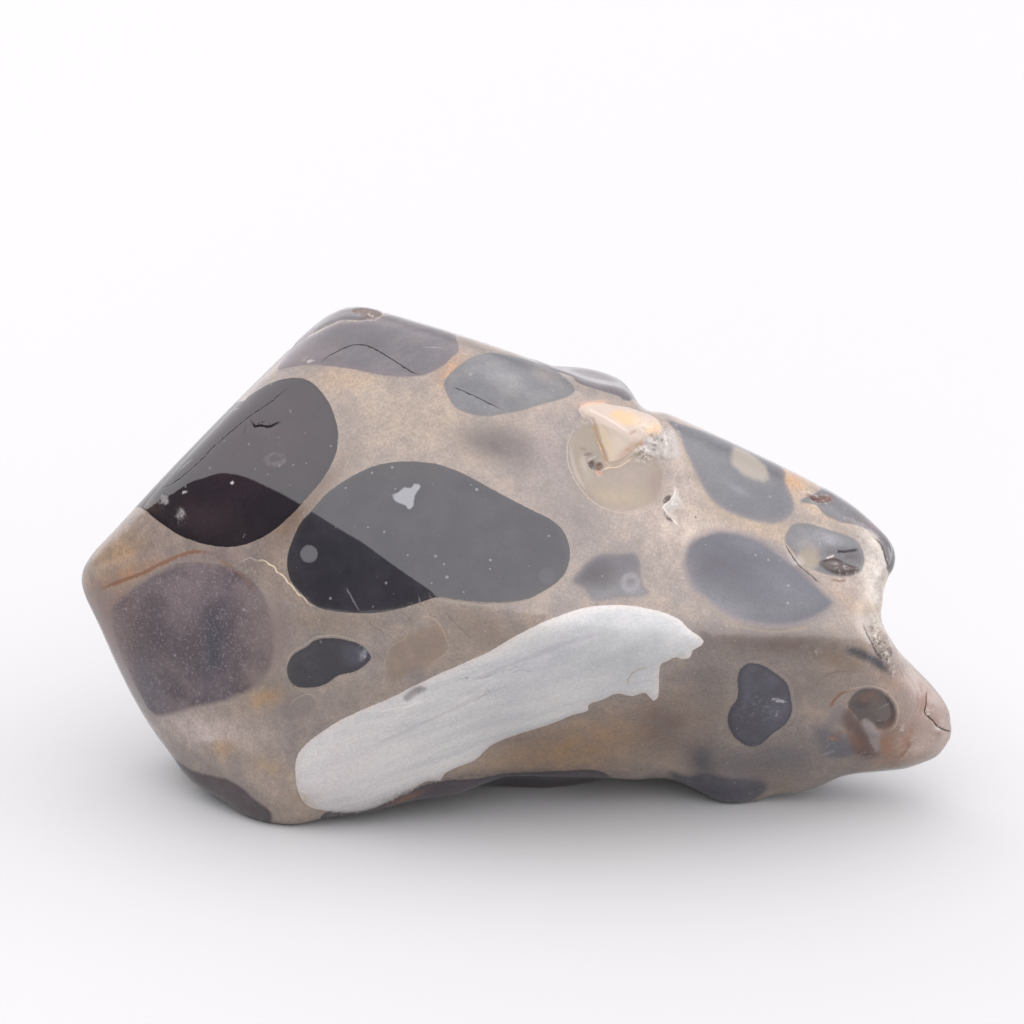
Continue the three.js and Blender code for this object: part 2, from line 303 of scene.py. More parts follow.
MIDDLE_MARKS = [
    Mark(tone(160, 145, 134, 0.95), 0.1, 0.35, 0.3, [  # cream wedge in the crater
        (9.1, 19.7), (9.9, 20.4), (11.6, 20.5), (13.1, 20.2), (15.2, 19.8), (16.7, 19.2), (18.1, 18.6),
        (18.6, 17.6), (18.5, 16.9), (16.9, 16.2), (16.1, 15.5), (15.5, 14.7), (14.6, 13.9), (13.5, 13.4),
        (12.5, 13.4), (12.1, 14.3), (11.6, 15.4), (11.2, 16.5), (10.8, 17.6), (10.5, 18.4), (9.6, 18.8),
        (9.2, 19.3),
    ]),
    Mark(tone(112, 98, 94, 0.8), 0.2, -0.15, 0.4, disc(10.3, 14.4, 0.6, 0.4)),
    Mark(tone(80, 66, 64, 0.85), 0.18, -0.3, 0.5, disc(10.9, 13.4, 0.45, 0.6, 30)),
    Mark(tone(86, 56, 46, 0.85), 0.12, -0.3, 0.4, disc(11.6, 13.2, 0.45, 0.5)),
    Mark(tone(104, 90, 82, 0.6), 0.2, -0.1, 0.3, disc(9.6, 15.1, 0.5, 0.3)),
    Mark(tone(150, 100, 70, 0.7), 0.15, -0.1, 0.3, disc(11.6, 12.5, 0.5, 0.25, -20)),
    Mark(tone(56, 42, 40, 0.95), 0.2, 0.3, 0.2, [  # nodule in the lens
        (37, 2), (37.7, 2.5), (38.8, 2.6), (39.9, 2), (41.4, 1.4), (41.1, 0.9), (39.5, 0.6), (37.9, 1),
    ]),
    Mark(tone(70, 52, 47, 0.85), 0.7, 0, 0.3, [  # rust below the hook
        (40.6, -14.8), (39.7, -15.4), (39.6, -16.6), (40.3, -17.6), (40.5, -18.8), (41, -20), (42.2, -20.7),
        (43.7, -20.2), (43.1, -19.2), (42.6, -18), (42, -16.8), (41.4, -15.8),
    ]),
    Mark(tone(58, 53, 52, 0.92), 0.22, -0.06, 0.2, [  # head of the hook
        (40.3, -14.2), (40.9, -13.2), (41.9, -12.6), (43.4, -12.6), (44.6, -13.2), (45.5, -14.2),
        (45.8, -15.4), (45.6, -16.5), (44.9, -17.2), (43.8, -17.2), (43, -16.5), (42.2, -16.1),
        (41.5, -16.5), (41.1, -16), (40.4, -15.2),
    ]),
    Mark(tone(116, 108, 108, 0.85), 0.25, 0.03, 0.2, [  # pale wedge in the hook
        (41.9, -16.8), (42.9, -16.5), (43.3, -17.2), (44, -17.6), (43.9, -18.6), (43.5, -20.1), (43, -19.2),
        (42.5, -18.1),
    ]),
    Mark(tone(160, 156, 152, 0.7), 0.35, 0.2, 0.4, [  # pale mass by the bruise
        (20.3, 10.7), (20.6, 9.9), (21, 9), (20.3, 8.2), (19.6, 7.9), (18.9, 8.4), (19.5, 9.1), (20, 9.9),
    ]),
    Mark(tone(108, 78, 62, 0.7), 0.2, 0, 0.3, disc(38.6, -18.3, 0.9, 0.25, -14)),
    Mark(tone(108, 76, 60, 0.7), 0.2, 0, 0.3, disc(39.2, -17.7, 0.5, 0.2, 20)),
    Mark(tone(108, 106, 112, 0.7), 0.15, 0, 0.2, disc(38, -20, 0.9, 0.15, 15)),
]
OVER_MARKS = [
    Mark(tone(150, 137, 123, 0.85), 0.2, 0, 0.25, [  # lower facet of the wedge
        (10.6, 18), (11.8, 17.8), (13.4, 17.2), (14.9, 16.6), (16, 15.9), (15.3, 15), (14.5, 14.2),
        (13.5, 13.8), (12.8, 13.8), (12.3, 14.9), (11.6, 16.4),
    ]),
    Mark(tone(176, 144, 104, 0.8), 0.45, 0, 0.3, disc(14.3, 18.6, 1.7, 0.7, -16)),
    Mark(tone(178, 146, 112, 0.8), 0.35, 0, 0.3, disc(17.6, 17.3, 1, 0.5, 12)),
    Mark(tone(140, 96, 66, 0.7), 0.25, -0.1, 0.4, disc(16.2, 15.7, 0.4, 0.25, 40)),
    Mark(tone(126, 100, 82, 0.7), 0.2, -0.1, 0.4, disc(15.3, 17, 0.5, 0.15, 25)),
    # The next mark is painted shadow: a dark patch beside the pale crack, in a small sunk dent.
    Mark(tone(60, 50, 48, 0.9), 0.1, -0.3, 0.5, disc(19.3, 9.3, 0.35, 0.6, -35)),
    Mark(tone(76, 62, 58, 0.9), 0.1, -0.3, 0.5, disc(19.4, 7.3, 0.25, 0.7, 35)),
    Mark(tone(54, 46, 46, 0.95), 0.06, -0.2, 0.4, disc(22.7, 7.3, 0.22)),
    # Painted shade: a dark crescent along the right of the hook's sunken head.
    Mark(tone(36, 33, 38, 0.9), 0.15, -0.05, 0.15, [  # dark rim of the hook's head
        (44.6, -13.4), (45.4, -14.4), (45.7, -15.5), (45.4, -16.5), (44.8, -17), (43.9, -17), (43.4, -16.4),
        (44.5, -16.3), (45.1, -15.6), (45, -14.6),
    ]),
    Mark(tone(74, 54, 50, 0.5), 0.35, 0, 0.2, disc(43.1, -15, 0.5, 0.7)),
    # Painted highlight: a small pale glint on the nodule in the lens.
    Mark(tone(168, 162, 156, 0.8), 0.12, 0, 0.2, disc(38.3, 2.8, 0.5, 0.12, 20)),
    Mark(tone(176, 168, 160, 0.6), 0.3, 0, 0.3, disc(-33.9, -18.3, 0.8, 0.25, -10)),
    Mark(tone(150, 142, 136, 0.7), 0.1, 0.1, 0.5, disc(50.6, -17.3, 0.3, 0.2)),
    Mark(tone(150, 140, 132, 0.7), 0.1, 0.1, 0.5, disc(46.3, -17.3, 0.22, 0.18)),
    Mark(tone(40, 41, 46, 0.75), 0.35, 0, 0.2, disc(42, -14.2, 1, 0.7, 20)),
    Mark(tone(74, 72, 74, 0.6), 0.35, 0, 0.2, disc(44.6, -15.6, 0.7, 0.9)),
    Mark(tone(82, 58, 48, 0.6), 0.3, 0, 0.2, disc(43.4, -13.7, 0.5, 0.9, 15)),
    Mark(tone(118, 114, 114, 0.5), 0.12, 0, 0.2, disc(44.4, -14.7, 0.7, 0.09, 35)),
    Mark(tone(118, 114, 114, 0.5), 0.12, 0, 0.2, disc(43.9, -16.3, 0.6, 0.09, 25)),
    Mark(tone(96, 92, 92, 0.7), 0.25, 0, 0.4, disc(-37, 7.6, 0.35, 0.7, -10)),
    Mark(tone(146, 142, 142, 0.8), 0.08, 0, 0.3, disc(-36.5, 10.1, 0.5, 0.2, 10)),
    Mark(tone(150, 148, 148, 0.9), 0.08, 0, 0.3, disc(-31, 11.3, 0.25)),
    Mark(tone(130, 128, 132, 0.8), 0.08, 0, 0.3, disc(-29.6, 5.1, 0.22)),
    Mark(tone(104, 98, 100, 0.8), 0.1, 0, 0.3, disc(-24.2, 19.4, 0.12, 0.5, 35)),
    # Painted highlight: a pale glint at the right end of the small slate pebble.
    Mark(tone(112, 112, 120, 0.7), 0.3, 0, 0.2, disc(-15.8, -8.6, 0.3, 0.8, -20)),
    Mark(tone(140, 138, 136, 0.8), 0.1, 0, 0.3, disc(-22, 25.3, 0.6, 0.15, 10)),
    # Painted highlights: two pale glints on the bean pebble.
    Mark(tone(120, 116, 120, 0.7), 0.12, 0, 0.3, disc(31.9, -15.6, 0.8, 0.12, 62)),
    Mark(tone(150, 147, 150, 0.7), 0.12, 0, 0.2, disc(32.2, -13.9, 0.9, 0.22, -12)),
]
MARK_LAYERS = {"under": UNDER_MARKS, "middle": MIDDLE_MARKS, "over": OVER_MARKS}

# A line on the surface: its colour with a strength, half its width and how deep it is cut (or, below
# 0, how high it stands), in millimetres, and the places that it runs through.
Line = namedtuple("Line", "colour half cut places")
LINES = [
    Line(tone(186, 170, 146, 0.9), 0.07, 0.05, [
        (-28.3, 2.2), (-27.4, 2.3), (-26.6, 1.8), (-26, 1.5), (-25.8, 0.9), (-25, 0.5), (-24.5, -0.3),
        (-24, -0.7), (-23.4, -1.6), (-22.6, -2.1), (-22.2, -2.7), (-21.4, -3.1),
    ]),
    Line(tone(112, 76, 56, 0.75), 0.18, 0.04, [
        (-46.4, -1.2), (-45.2, -0.7), (-43.8, -0.1), (-41.5, 0.7), (-39.1, 1.9), (-36.8, 2.9), (-35, 3.3),
        (-33, 3.1),
    ]),
    Line(tone(104, 80, 66, 0.4), 0.25, 0, [(-33, 2.6), (-31, 1.6), (-29.4, 0), (-28.2, -1.6)]),
    Line(tone(186, 180, 174, 0.8), 0.1, -0.15, [
        (20.3, 10.6), (20.1, 9.8), (19.5, 9), (18.9, 8.4), (19.5, 7.5), (20.1, 6.8), (20.9, 6),
    ]),
    Line(tone(36, 25, 23, 0.95), 0.085, 0.09, [
        (49.3, -12.4), (49.35, -13.5), (49.3, -14.6), (49.2, -15.4), (50, -16.2), (50.9, -17.1),
        (52, -17.5), (53, -17.6),
    ]),
    Line(tone(14, 12, 14, 0.95), 0.12, 0.15, [
        (-28.8, 18.3), (-28.4, 17.8), (-27.7, 17.9), (-27, 17.7), (-26.4, 17.9), (-25.2, 18.3),
    ]),
    # Painted reflection: a thin dark line along the left flint, standing for the reflection of a seam in
    # the tent's light, cut in a little.
    Line(tone(22, 17, 19, 0.85), 0.06, 0.03, [
        (-24.2, 22.5), (-25.6, 21.3), (-27.1, 20.15), (-29.1, 18.8), (-31, 17.2), (-33, 15.5),
        (-34.7, 13.7), (-36.2, 12.4), (-37.9, 11.1), (-39.4, 10.5),
    ]),
    Line(tone(24, 18, 20, 0.6), 0.06, 0.02, [(-40, 12.9), (-38.6, 13.7), (-37.4, 14.8), (-36.4, 15.9)]),
    Line(tone(96, 94, 98, 0.7), 0.07, 0.03, [(-17.8, -0.9), (-17.2, -1.9), (-16.2, -3.7)]),
    Line(tone(98, 94, 96, 0.6), 0.08, 0.03, [(-9.4, -1.9), (-9.2, -2.7), (-9.2, -3.2)]),
    Line(tone(130, 122, 110, 0.6), 0.12, 0, [
        (7.9, 1.2), (7, -0.1), (5.2, -1.4), (2.8, -2.5), (-1.2, -2.85), (-4.7, -2.55), (-7, -2.2),
    ]),
    # Painted highlight: the pale line round the crater's rim, on a slightly raised ridge.
    Line(tone(150, 138, 124, 0.6), 0.09, -0.02, [
        (8.8, 17.6), (8.1, 16.6), (7.8, 15.4), (7.9, 13.6), (8.7, 11.6), (9.8, 10), (11.1, 8.8),
        (12.6, 8.1), (14.8, 7.7), (16.4, 7.9), (17.6, 8.5), (18.6, 9.6),
    ]),
    Line(tone(128, 118, 106, 0.5), 0.16, 0, [
        (22, -1.4), (24.3, -3.5), (27.4, -5.1), (30.8, -5.9), (34.2, -5.7), (37, -4.8),
    ]),
    Line(tone(142, 130, 112, 0.5), 0.14, 0, [
        (19.9, 17.6), (20.8, 15.9), (21.7, 13.5), (22.6, 11.3), (24.2, 9), (26.3, 7.5), (29, 6.6),
    ]),
    Line(tone(112, 74, 56, 0.7), 0.18, 0, [(38.2, -14.8), (38.5, -14.1), (39.4, -13.2), (40.4, -12.8)]),
    # Painted highlight: the pale ring round the hook's head, on a slightly raised ridge.
    Line(tone(152, 139, 126, 0.55), 0.08, -0.02, [
        (39.8, -12.6), (41, -12.5), (42.6, -12.2), (43.9, -12.5), (45, -13.1), (45.9, -14.3), (46.1, -15.6),
        (45.7, -16.9), (44.9, -17.6),
    ]),
    Line(tone(104, 76, 60, 0.5), 0.3, 0, [(47.4, -18.5), (46.9, -19.7), (46, -20.7)]),
    Line(tone(146, 132, 116, 0.6), 0.08, 0, [
        (-9.4, -4.1), (-7.9, -4.3), (-7.1, -4.9), (-6.4, -6.2), (-5.9, -7.9), (-6.6, -8.8), (-8.2, -9.6),
    ]),
    Line(tone(138, 126, 112, 0.6), 0.07, 0, [
        (-9.4, -4.1), (-10.4, -5.2), (-10.9, -6.6), (-12.4, -7.5), (-13.2, -9), (-13.3, -10.8),
    ]),
    Line(tone(84, 72, 64, 0.6), 0.05, 0.02, [(-15.3, -4.2), (-14.8, -5.4), (-13.7, -5.9), (-13.3, -6.9)]),
    Line(tone(150, 138, 126, 0.5), 0.06, 0, [(-24.4, -14.6), (-23.4, -13.6), (-21.9, -13.2), (-21, -14.1)]),
    Line(tone(154, 142, 130, 0.5), 0.05, 0, [(-30.4, 1.9), (-28.9, 2.6), (-28.3, 2.2)]),
    Line(tone(96, 84, 76, 0.4), 0.05, 0, [(23.2, -9.4), (24.9, -10.8), (25.6, -13.2), (25.3, -15)]),
    Line(tone(100, 82, 70, 0.5), 0.06, 0, [(35.8, -12.9), (37.2, -11.4), (39, -10.6), (41.6, -10.7)]),
    Line(tone(96, 80, 72, 0.5), 0.06, 0, [(46.6, -10.6), (47.8, -12), (48.3, -13.8), (47.9, -15.6)]),
    Line(tone(92, 80, 70, 0.5), 0.06, 0.02, [(-11.6, -3.6), (-10.6, -4.4), (-10.3, -5.6)]),
    Line(tone(88, 76, 68, 0.5), 0.06, 0.02, [(-6.6, -3.2), (-5.6, -4.6), (-4, -6.1), (-3.4, -6.7)]),
    Line(tone(150, 118, 82, 0.7), 0.1, 0.05, [
        (10.6, 18), (10.9, 17.4), (11.4, 16.2), (11.9, 15.2), (12.2, 14.2), (12.5, 13.5),
    ]),
    Line(tone(184, 164, 134, 0.6), 0.08, -0.05, [
        (11.9, 12.7), (12.6, 13.1), (13.5, 13.1), (14.5, 13.6), (15.4, 14.3),
    ]),
    Line(tone(190, 178, 166, 0.5), 0.12, -0.05, [(9.9, 19.8), (11.5, 18.9), (13.2, 17.9), (15, 16.9)]),
    Line(tone(140, 122, 98, 0.5), 0.1, 0, [(17.1, -10), (15.6, -10.5), (14.8, -11.4), (14.8, -12.2)]),
    Line(tone(46, 40, 44, 0.8), 0.08, 0.08, [(32.9, 4.4), (34, 2.6), (35.6, 1), (37.2, -0.6)]),
    Line(tone(40, 35, 38, 0.8), 0.14, 0.12, [(39, 3.5), (40, 3.4), (41.5, 3.6)]),
    Line(tone(112, 76, 60, 0.7), 0.12, 0.03, [(38.3, 0.1), (39.2, -0.1), (40.1, 0.1)]),
    Line(tone(44, 38, 42, 0.8), 0.12, 0.1, [(43.4, 5), (44.2, 4.1), (44.6, 2.7), (44.9, 1.2)]),
    Line(tone(172, 161, 148, 0.4), 0.3, 0, [
        (42.1, 0.9), (42.5, -1.3), (43.3, -3.4), (44, -5), (44.6, -6.4),
    ]),
    Line(tone(50, 46, 52, 0.7), 0.12, 0.1, [(42, -5), (42.6, -6.4), (43.4, -8), (44.3, -9.4)]),
    # Painted reflection: the same seam's reflection crossing the pale blue pebble, drawn as a fine cut
    # line.
    Line(tone(20, 18, 22, 0.8), 0.05, 0.03, [
        (-5.5, 22.3), (-4.4, 21.9), (-3, 21.3), (-1.4, 20.5), (0.4, 19.6),
    ]),
    # Painted reflection: the same seam's reflection as a peaked line across the crest, drawn as a fine cut
    # line.
    Line(tone(20, 17, 19, 0.85), 0.06, 0.02, [
        (-21, 24.9), (-19.9, 25.8), (-18.6, 26.5), (-17.5, 27), (-16.1, 27.2), (-14.9, 26.9), (-13.3, 26),
        (-11.6, 24.9), (-10.1, 24), (-9.1, 23.7),
    ]),
    Line(tone(140, 136, 138, 0.7), 0.07, 0, [(-31.9, 19.1), (-31, 19.6), (-30.1, 19.9)]),
    Line(tone(140, 136, 138, 0.6), 0.07, 0, [(-37.2, 12.6), (-36.4, 13.3), (-35.5, 14)]),
    Line(tone(130, 126, 130, 0.7), 0.06, 0, [(-8.9, 26.8), (-7.8, 26.9), (-6.6, 26.8)]),
    Line(tone(150, 142, 132, 0.6), 0.07, 0, [
        (-24.9, -10.2), (-24.2, -8.5), (-22.6, -7.5), (-21.2, -6.6), (-18.7, -6.5), (-16.1, -7.2),
    ]),
    Line(tone(130, 124, 124, 0.5), 0.06, 0, [
        (27.2, -10.6), (28, -9.8), (28.9, -9.4), (30.5, -9.6), (32, -10.5), (33.5, -11.9), (33.95, -13.4),
        (34.1, -15.1), (33.4, -16.9),
    ]),
    Line(tone(176, 170, 168, 0.5), 0.1, -0.04, [(-20.5, -20), (-14.5, -17.4), (-8.5, -14.9)]),
    Line(tone(118, 111, 111, 0.6), 0.05, 0.03, [(-4.9, -11.5), (-3.6, -11.2), (-2.2, -11.4), (-0.8, -11)]),
    Line(tone(118, 112, 112, 0.5), 0.05, 0.03, [(-2.8, -14), (-1.8, -13.2), (-1.3, -12.2)]),
    Line(tone(120, 116, 118, 0.5), 0.05, 0.02, [(1, -10.9), (2.2, -10.4), (3.8, -10.6)]),
    Line(tone(192, 188, 186, 0.6), 0.09, -0.03, [
        (-14.2, -15.2), (-12.4, -14.8), (-10.6, -14.5), (-9.2, -13.9),
    ]),
    Line(tone(186, 182, 180, 0.6), 0.08, -0.03, [(-21.6, -18.6), (-21.2, -19.8), (-21.4, -20.8)]),
    Line(tone(150, 148, 152, 0.5), 0.2, 0.03, [(-15, -19.3), (-9, -16.6), (-3, -13.8), (2, -11.8)]),
    Line(tone(146, 144, 150, 0.5), 0.25, 0.03, [(-4, -11.9), (2, -9.5), (8, -7.2), (13, -5.9)]),
]

# A stain, which fades out all round (a few are painted shade and highlights): where it lies, how far
# it reaches along and aside, its turn in degrees, and its colour with a strength.
StainAndShading = namedtuple("StainAndShading", "across up reach rise turn colour")
CEMENT_STAINS_AND_SHADE = [
    StainAndShading(-22, 9.2, 1.6, 7, -40, tone(84, 66, 52, 0.8)),
    StainAndShading(-18.5, 23.3, 4, 1.4, 0, tone(150, 124, 96, 0.6)),
    StainAndShading(-10, 18.3, 9, 4.5, -8, tone(137, 122, 106, 0.7)),
    StainAndShading(-0.6, 15.8, 4.4, 2, -10, tone(74, 66, 64, 0.95)),
    StainAndShading(4, 14.4, 4, 2.2, -20, tone(80, 71, 69, 0.9)), StainAndShading(8, 8.8, 5.5, 4, -30, tone(98, 91, 89, 0.8)),
    StainAndShading(5.6, 14, 2.4, 5, 10, tone(126, 115, 112, 0.6)),
    StainAndShading(-5.6, 24.4, 1.4, 2.2, -30, tone(146, 112, 82, 0.75)),
    StainAndShading(21, 12.7, 2, 5, 20, tone(142, 130, 120, 0.6)), StainAndShading(18, 3, 3, 5, 10, tone(124, 112, 103, 0.5)),
    StainAndShading(30.5, 6, 8, 1.2, -16, tone(140, 122, 102, 0.6)),
    StainAndShading(34, 11.6, 1.6, 1.6, 0, tone(156, 122, 90, 0.7)),
    StainAndShading(37.5, 8.4, 4, 1.2, -25, tone(158, 136, 110, 0.6)),
    StainAndShading(43.5, 0, 1.8, 6.5, 8, tone(164, 156, 147, 0.9)),
    StainAndShading(42.1, -3.2, 1.2, 0.9, 0, tone(150, 126, 86, 0.6)),
    StainAndShading(40, -2, 2.6, 1.2, -20, tone(128, 108, 92, 0.5)),
    # The stains at (30, -7.3) and (36, -7.6) make a long dark taupe band across the lower right: partly the
    # cement's own taupe, partly painted shade below the tent's reflection.
    StainAndShading(30, -7.3, 12, 1.7, -4, tone(80, 70, 66, 0.85)),
    StainAndShading(36, -7.6, 5, 1.4, -6, tone(76, 64, 58, 0.7)), StainAndShading(24, -13.5, 3.2, 6, 0, tone(84, 78, 76, 0.7)),
    StainAndShading(37, -12, 5, 3, 0, tone(104, 92, 85, 0.6)), StainAndShading(33, -20.5, 7, 3, 0, tone(84, 79, 79, 0.75)),
    StainAndShading(46, -12.5, 2.6, 5, 20, tone(124, 106, 97, 0.7)),
    StainAndShading(46, -19.4, 4, 2.4, 10, tone(110, 84, 66, 0.8)),
    StainAndShading(50.4, -14.6, 2.2, 4.4, 10, tone(97, 72, 61, 0.85)),
    StainAndShading(48.6, -19, 3, 1.6, 14, tone(160, 143, 132, 0.75)),
    StainAndShading(9, -19.2, 12, 3.4, 12, tone(123, 99, 75, 0.9)),
    StainAndShading(19, -16.5, 3.4, 3.4, 0, tone(82, 68, 64, 0.8)),
    StainAndShading(-20, -4.8, 6, 1.4, 0, tone(106, 92, 78, 0.6)),
    StainAndShading(-30, -18, 6, 4, -20, tone(126, 114, 107, 0.5)),
    StainAndShading(-35.5, -17.2, 5.6, 2, -8, tone(160, 146, 141, 0.85)),
    StainAndShading(-15, -9.6, 1.6, 2.2, 0, tone(118, 110, 108, 0.7)),
    StainAndShading(21.6, 5.2, 6, 2.6, -24, tone(153, 139, 128, 0.85)),
    StainAndShading(-32, -19.5, 1.4, 1, 0, tone(140, 108, 68, 0.6)),
    StainAndShading(-26.8, -21.6, 2.2, 1, -20, tone(130, 108, 80, 0.5)),
    StainAndShading(-27, -13.6, 2.6, 1.2, 20, tone(134, 106, 72, 0.7)),
    StainAndShading(-44.5, -4, 2.6, 6, -20, tone(104, 80, 75, 0.8)),
    StainAndShading(-44, 2.6, 3, 3.6, -35, tone(140, 117, 94, 0.8)),
    StainAndShading(-25.4, -6, 1.6, 5, 0, tone(104, 91, 88, 0.7)), StainAndShading(-33, 2.9, 6, 1, 0, tone(112, 99, 97, 0.7)),
    StainAndShading(-43, 0.8, 5, 0.7, 20, tone(134, 98, 72, 0.7)),
    StainAndShading(-39.5, 5.6, 4, 1.2, -25, tone(128, 114, 106, 0.7)),
    StainAndShading(-2, -5.4, 5, 2, -30, tone(100, 88, 78, 0.6)),
    StainAndShading(-20, -14.6, 5, 2, 20, tone(112, 102, 99, 0.6)),
    StainAndShading(23.4, -21, 1.5, 2, 0, tone(56, 56, 65, 0.8)),
    StainAndShading(27.5, -21.4, 3.4, 1.4, -6, tone(84, 80, 82, 0.7)),
    StainAndShading(14, 22, 5, 1.2, -24, tone(128, 116, 108, 0.5)),
]
FLINT_STAINS_AND_SHADING = [
    StainAndShading(-43.2, -6, 2.4, 6, 8, tone(92, 74, 72, 0.7)), StainAndShading(-40, -7, 2.4, 3, 0, tone(52, 41, 47, 0.85)),
    StainAndShading(-36.6, -3.6, 2.2, 2.2, 0, tone(100, 88, 91, 0.6)),
    StainAndShading(-33.2, -8, 1.5, 5.6, -4, tone(42, 41, 54, 0.9)),
    # The stain at (-37, -0.6), a lilac band along the plum's top, is partly its own lilac and partly a
    # painted highlight.
    StainAndShading(-37, -0.6, 6, 1.6, 0, tone(98, 86, 88, 0.8)), StainAndShading(-27.6, -6, 2.2, 5, 0, tone(98, 85, 83, 0.75)),
    StainAndShading(-40.6, -12.2, 1.6, 3, 20, tone(74, 72, 80, 0.7)),
    StainAndShading(-34, 7.2, 3.4, 1.8, -14, tone(48, 39, 42, 0.7)),
    StainAndShading(-25.6, 9, 4.6, 3.4, -20, tone(25, 26, 31, 0.7)),
    StainAndShading(-34, 10.6, 3, 1.2, 0, tone(25, 26, 31, 0.6)), StainAndShading(-27, 16.6, 9, 6, 30, tone(47, 34, 40, 0.75)),
    StainAndShading(-40.6, 8.6, 1.2, 0.8, -30, tone(74, 58, 50, 0.6)),
    StainAndShading(-17.3, 1.2, 5, 4, -35, tone(30, 30, 36, 0.5)), StainAndShading(-11, 12.6, 6, 1.2, 4, tone(58, 52, 52, 0.5)),
    StainAndShading(25, 1.2, 3.4, 2.2, 10, tone(50, 46, 56, 0.8)),
    StainAndShading(34, -1.4, 3.6, 2.4, -30, tone(80, 80, 86, 0.8)),
    StainAndShading(30, -3.6, 6, 1.2, 4, tone(76, 75, 80, 0.7)), StainAndShading(29.5, 4, 4, 1, -14, tone(84, 84, 90, 0.6)),
    StainAndShading(22, 1.2, 1, 3.4, 0, tone(86, 80, 84, 0.5)), StainAndShading(11.6, 0.4, 2.9, 1.6, 0, tone(34, 22, 25, 0.88)),
    StainAndShading(14.4, 1, 1.8, 2.4, 0, tone(72, 66, 69, 0.6)),
    StainAndShading(-4.6, 20.4, 1.8, 1.4, -30, tone(86, 86, 92, 0.6)),
    StainAndShading(5.4, 23.6, 1.6, 0.8, -30, tone(118, 108, 104, 0.5)),
    StainAndShading(0.5, 23.4, 3.5, 1.2, -18, tone(122, 120, 122, 0.5)),
    StainAndShading(-22.5, 25.9, 3.4, 1.2, 20, tone(96, 84, 86, 0.7)),
    StainAndShading(-14, 27.2, 3.4, 1.6, 0, tone(62, 60, 63, 0.65)),
    StainAndShading(22.8, 14, 2.4, 4.2, 30, tone(92, 92, 94, 0.7)),
    StainAndShading(32.4, 12.6, 1, 1.4, 0, tone(78, 72, 75, 0.5)),
    StainAndShading(27.6, 10.4, 1.6, 0.4, -30, tone(112, 112, 116, 0.5)),
    StainAndShading(-16.6, -8.5, 1.4, 1.2, 0, tone(66, 66, 78, 0.8)),
    StainAndShading(31.6, -15, 1.5, 1.6, 0, tone(78, 77, 86, 0.7)),
    StainAndShading(29.4, -14.6, 3, 3.6, 0, tone(60, 59, 69, 0.5)),
    StainAndShading(-18, -22, 6, 3.6, 20, tone(166, 159, 160, 0.5)), StainAndShading(6, -9, 9, 2, 22, tone(152, 153, 160, 0.6)),
    # The stain at (15, -7), grey on the right of the white pebble, is partly its own grey tone and partly
    # painted shade that evens out the stronger light on that side.
    StainAndShading(14, -11, 4, 1.6, 20, tone(156, 156, 160, 0.5)), StainAndShading(15, -7, 9, 5, 10, tone(145, 147, 147, 0.9)),
    StainAndShading(1, -14, 7, 3, 26, tone(156, 155, 156, 0.6)),
    StainAndShading(41.5, 5.9, 1.8, 0.9, -20, tone(110, 98, 96, 0.7)),
    # The stain at (38, 4.7) is the lens pebble's pale blue-grey top: partly its own tone, partly a painted
    # highlight.
    StainAndShading(38, 4.7, 3, 0.8, -14, tone(122, 122, 126, 0.7)),
    StainAndShading(40.6, 2.7, 1.6, 0.8, -20, tone(66, 60, 64, 0.7)),
    StainAndShading(36, 3.9, 1.8, 0.7, -20, tone(128, 120, 116, 0.6)),
    StainAndShading(38.6, 8.4, 3, 1.2, -30, tone(92, 90, 94, 0.7)),
    StainAndShading(44.6, 3.2, 0.9, 3.4, 0, tone(62, 55, 58, 0.7)),
    StainAndShading(43, 6.4, 1.8, 1.2, -40, tone(96, 84, 88, 0.7)),
    # Painted shadow: the dark band above the nodule in the lens.
    StainAndShading(39.6, 3.1, 2.4, 0.7, -8, tone(58, 52, 54, 0.8)),
]
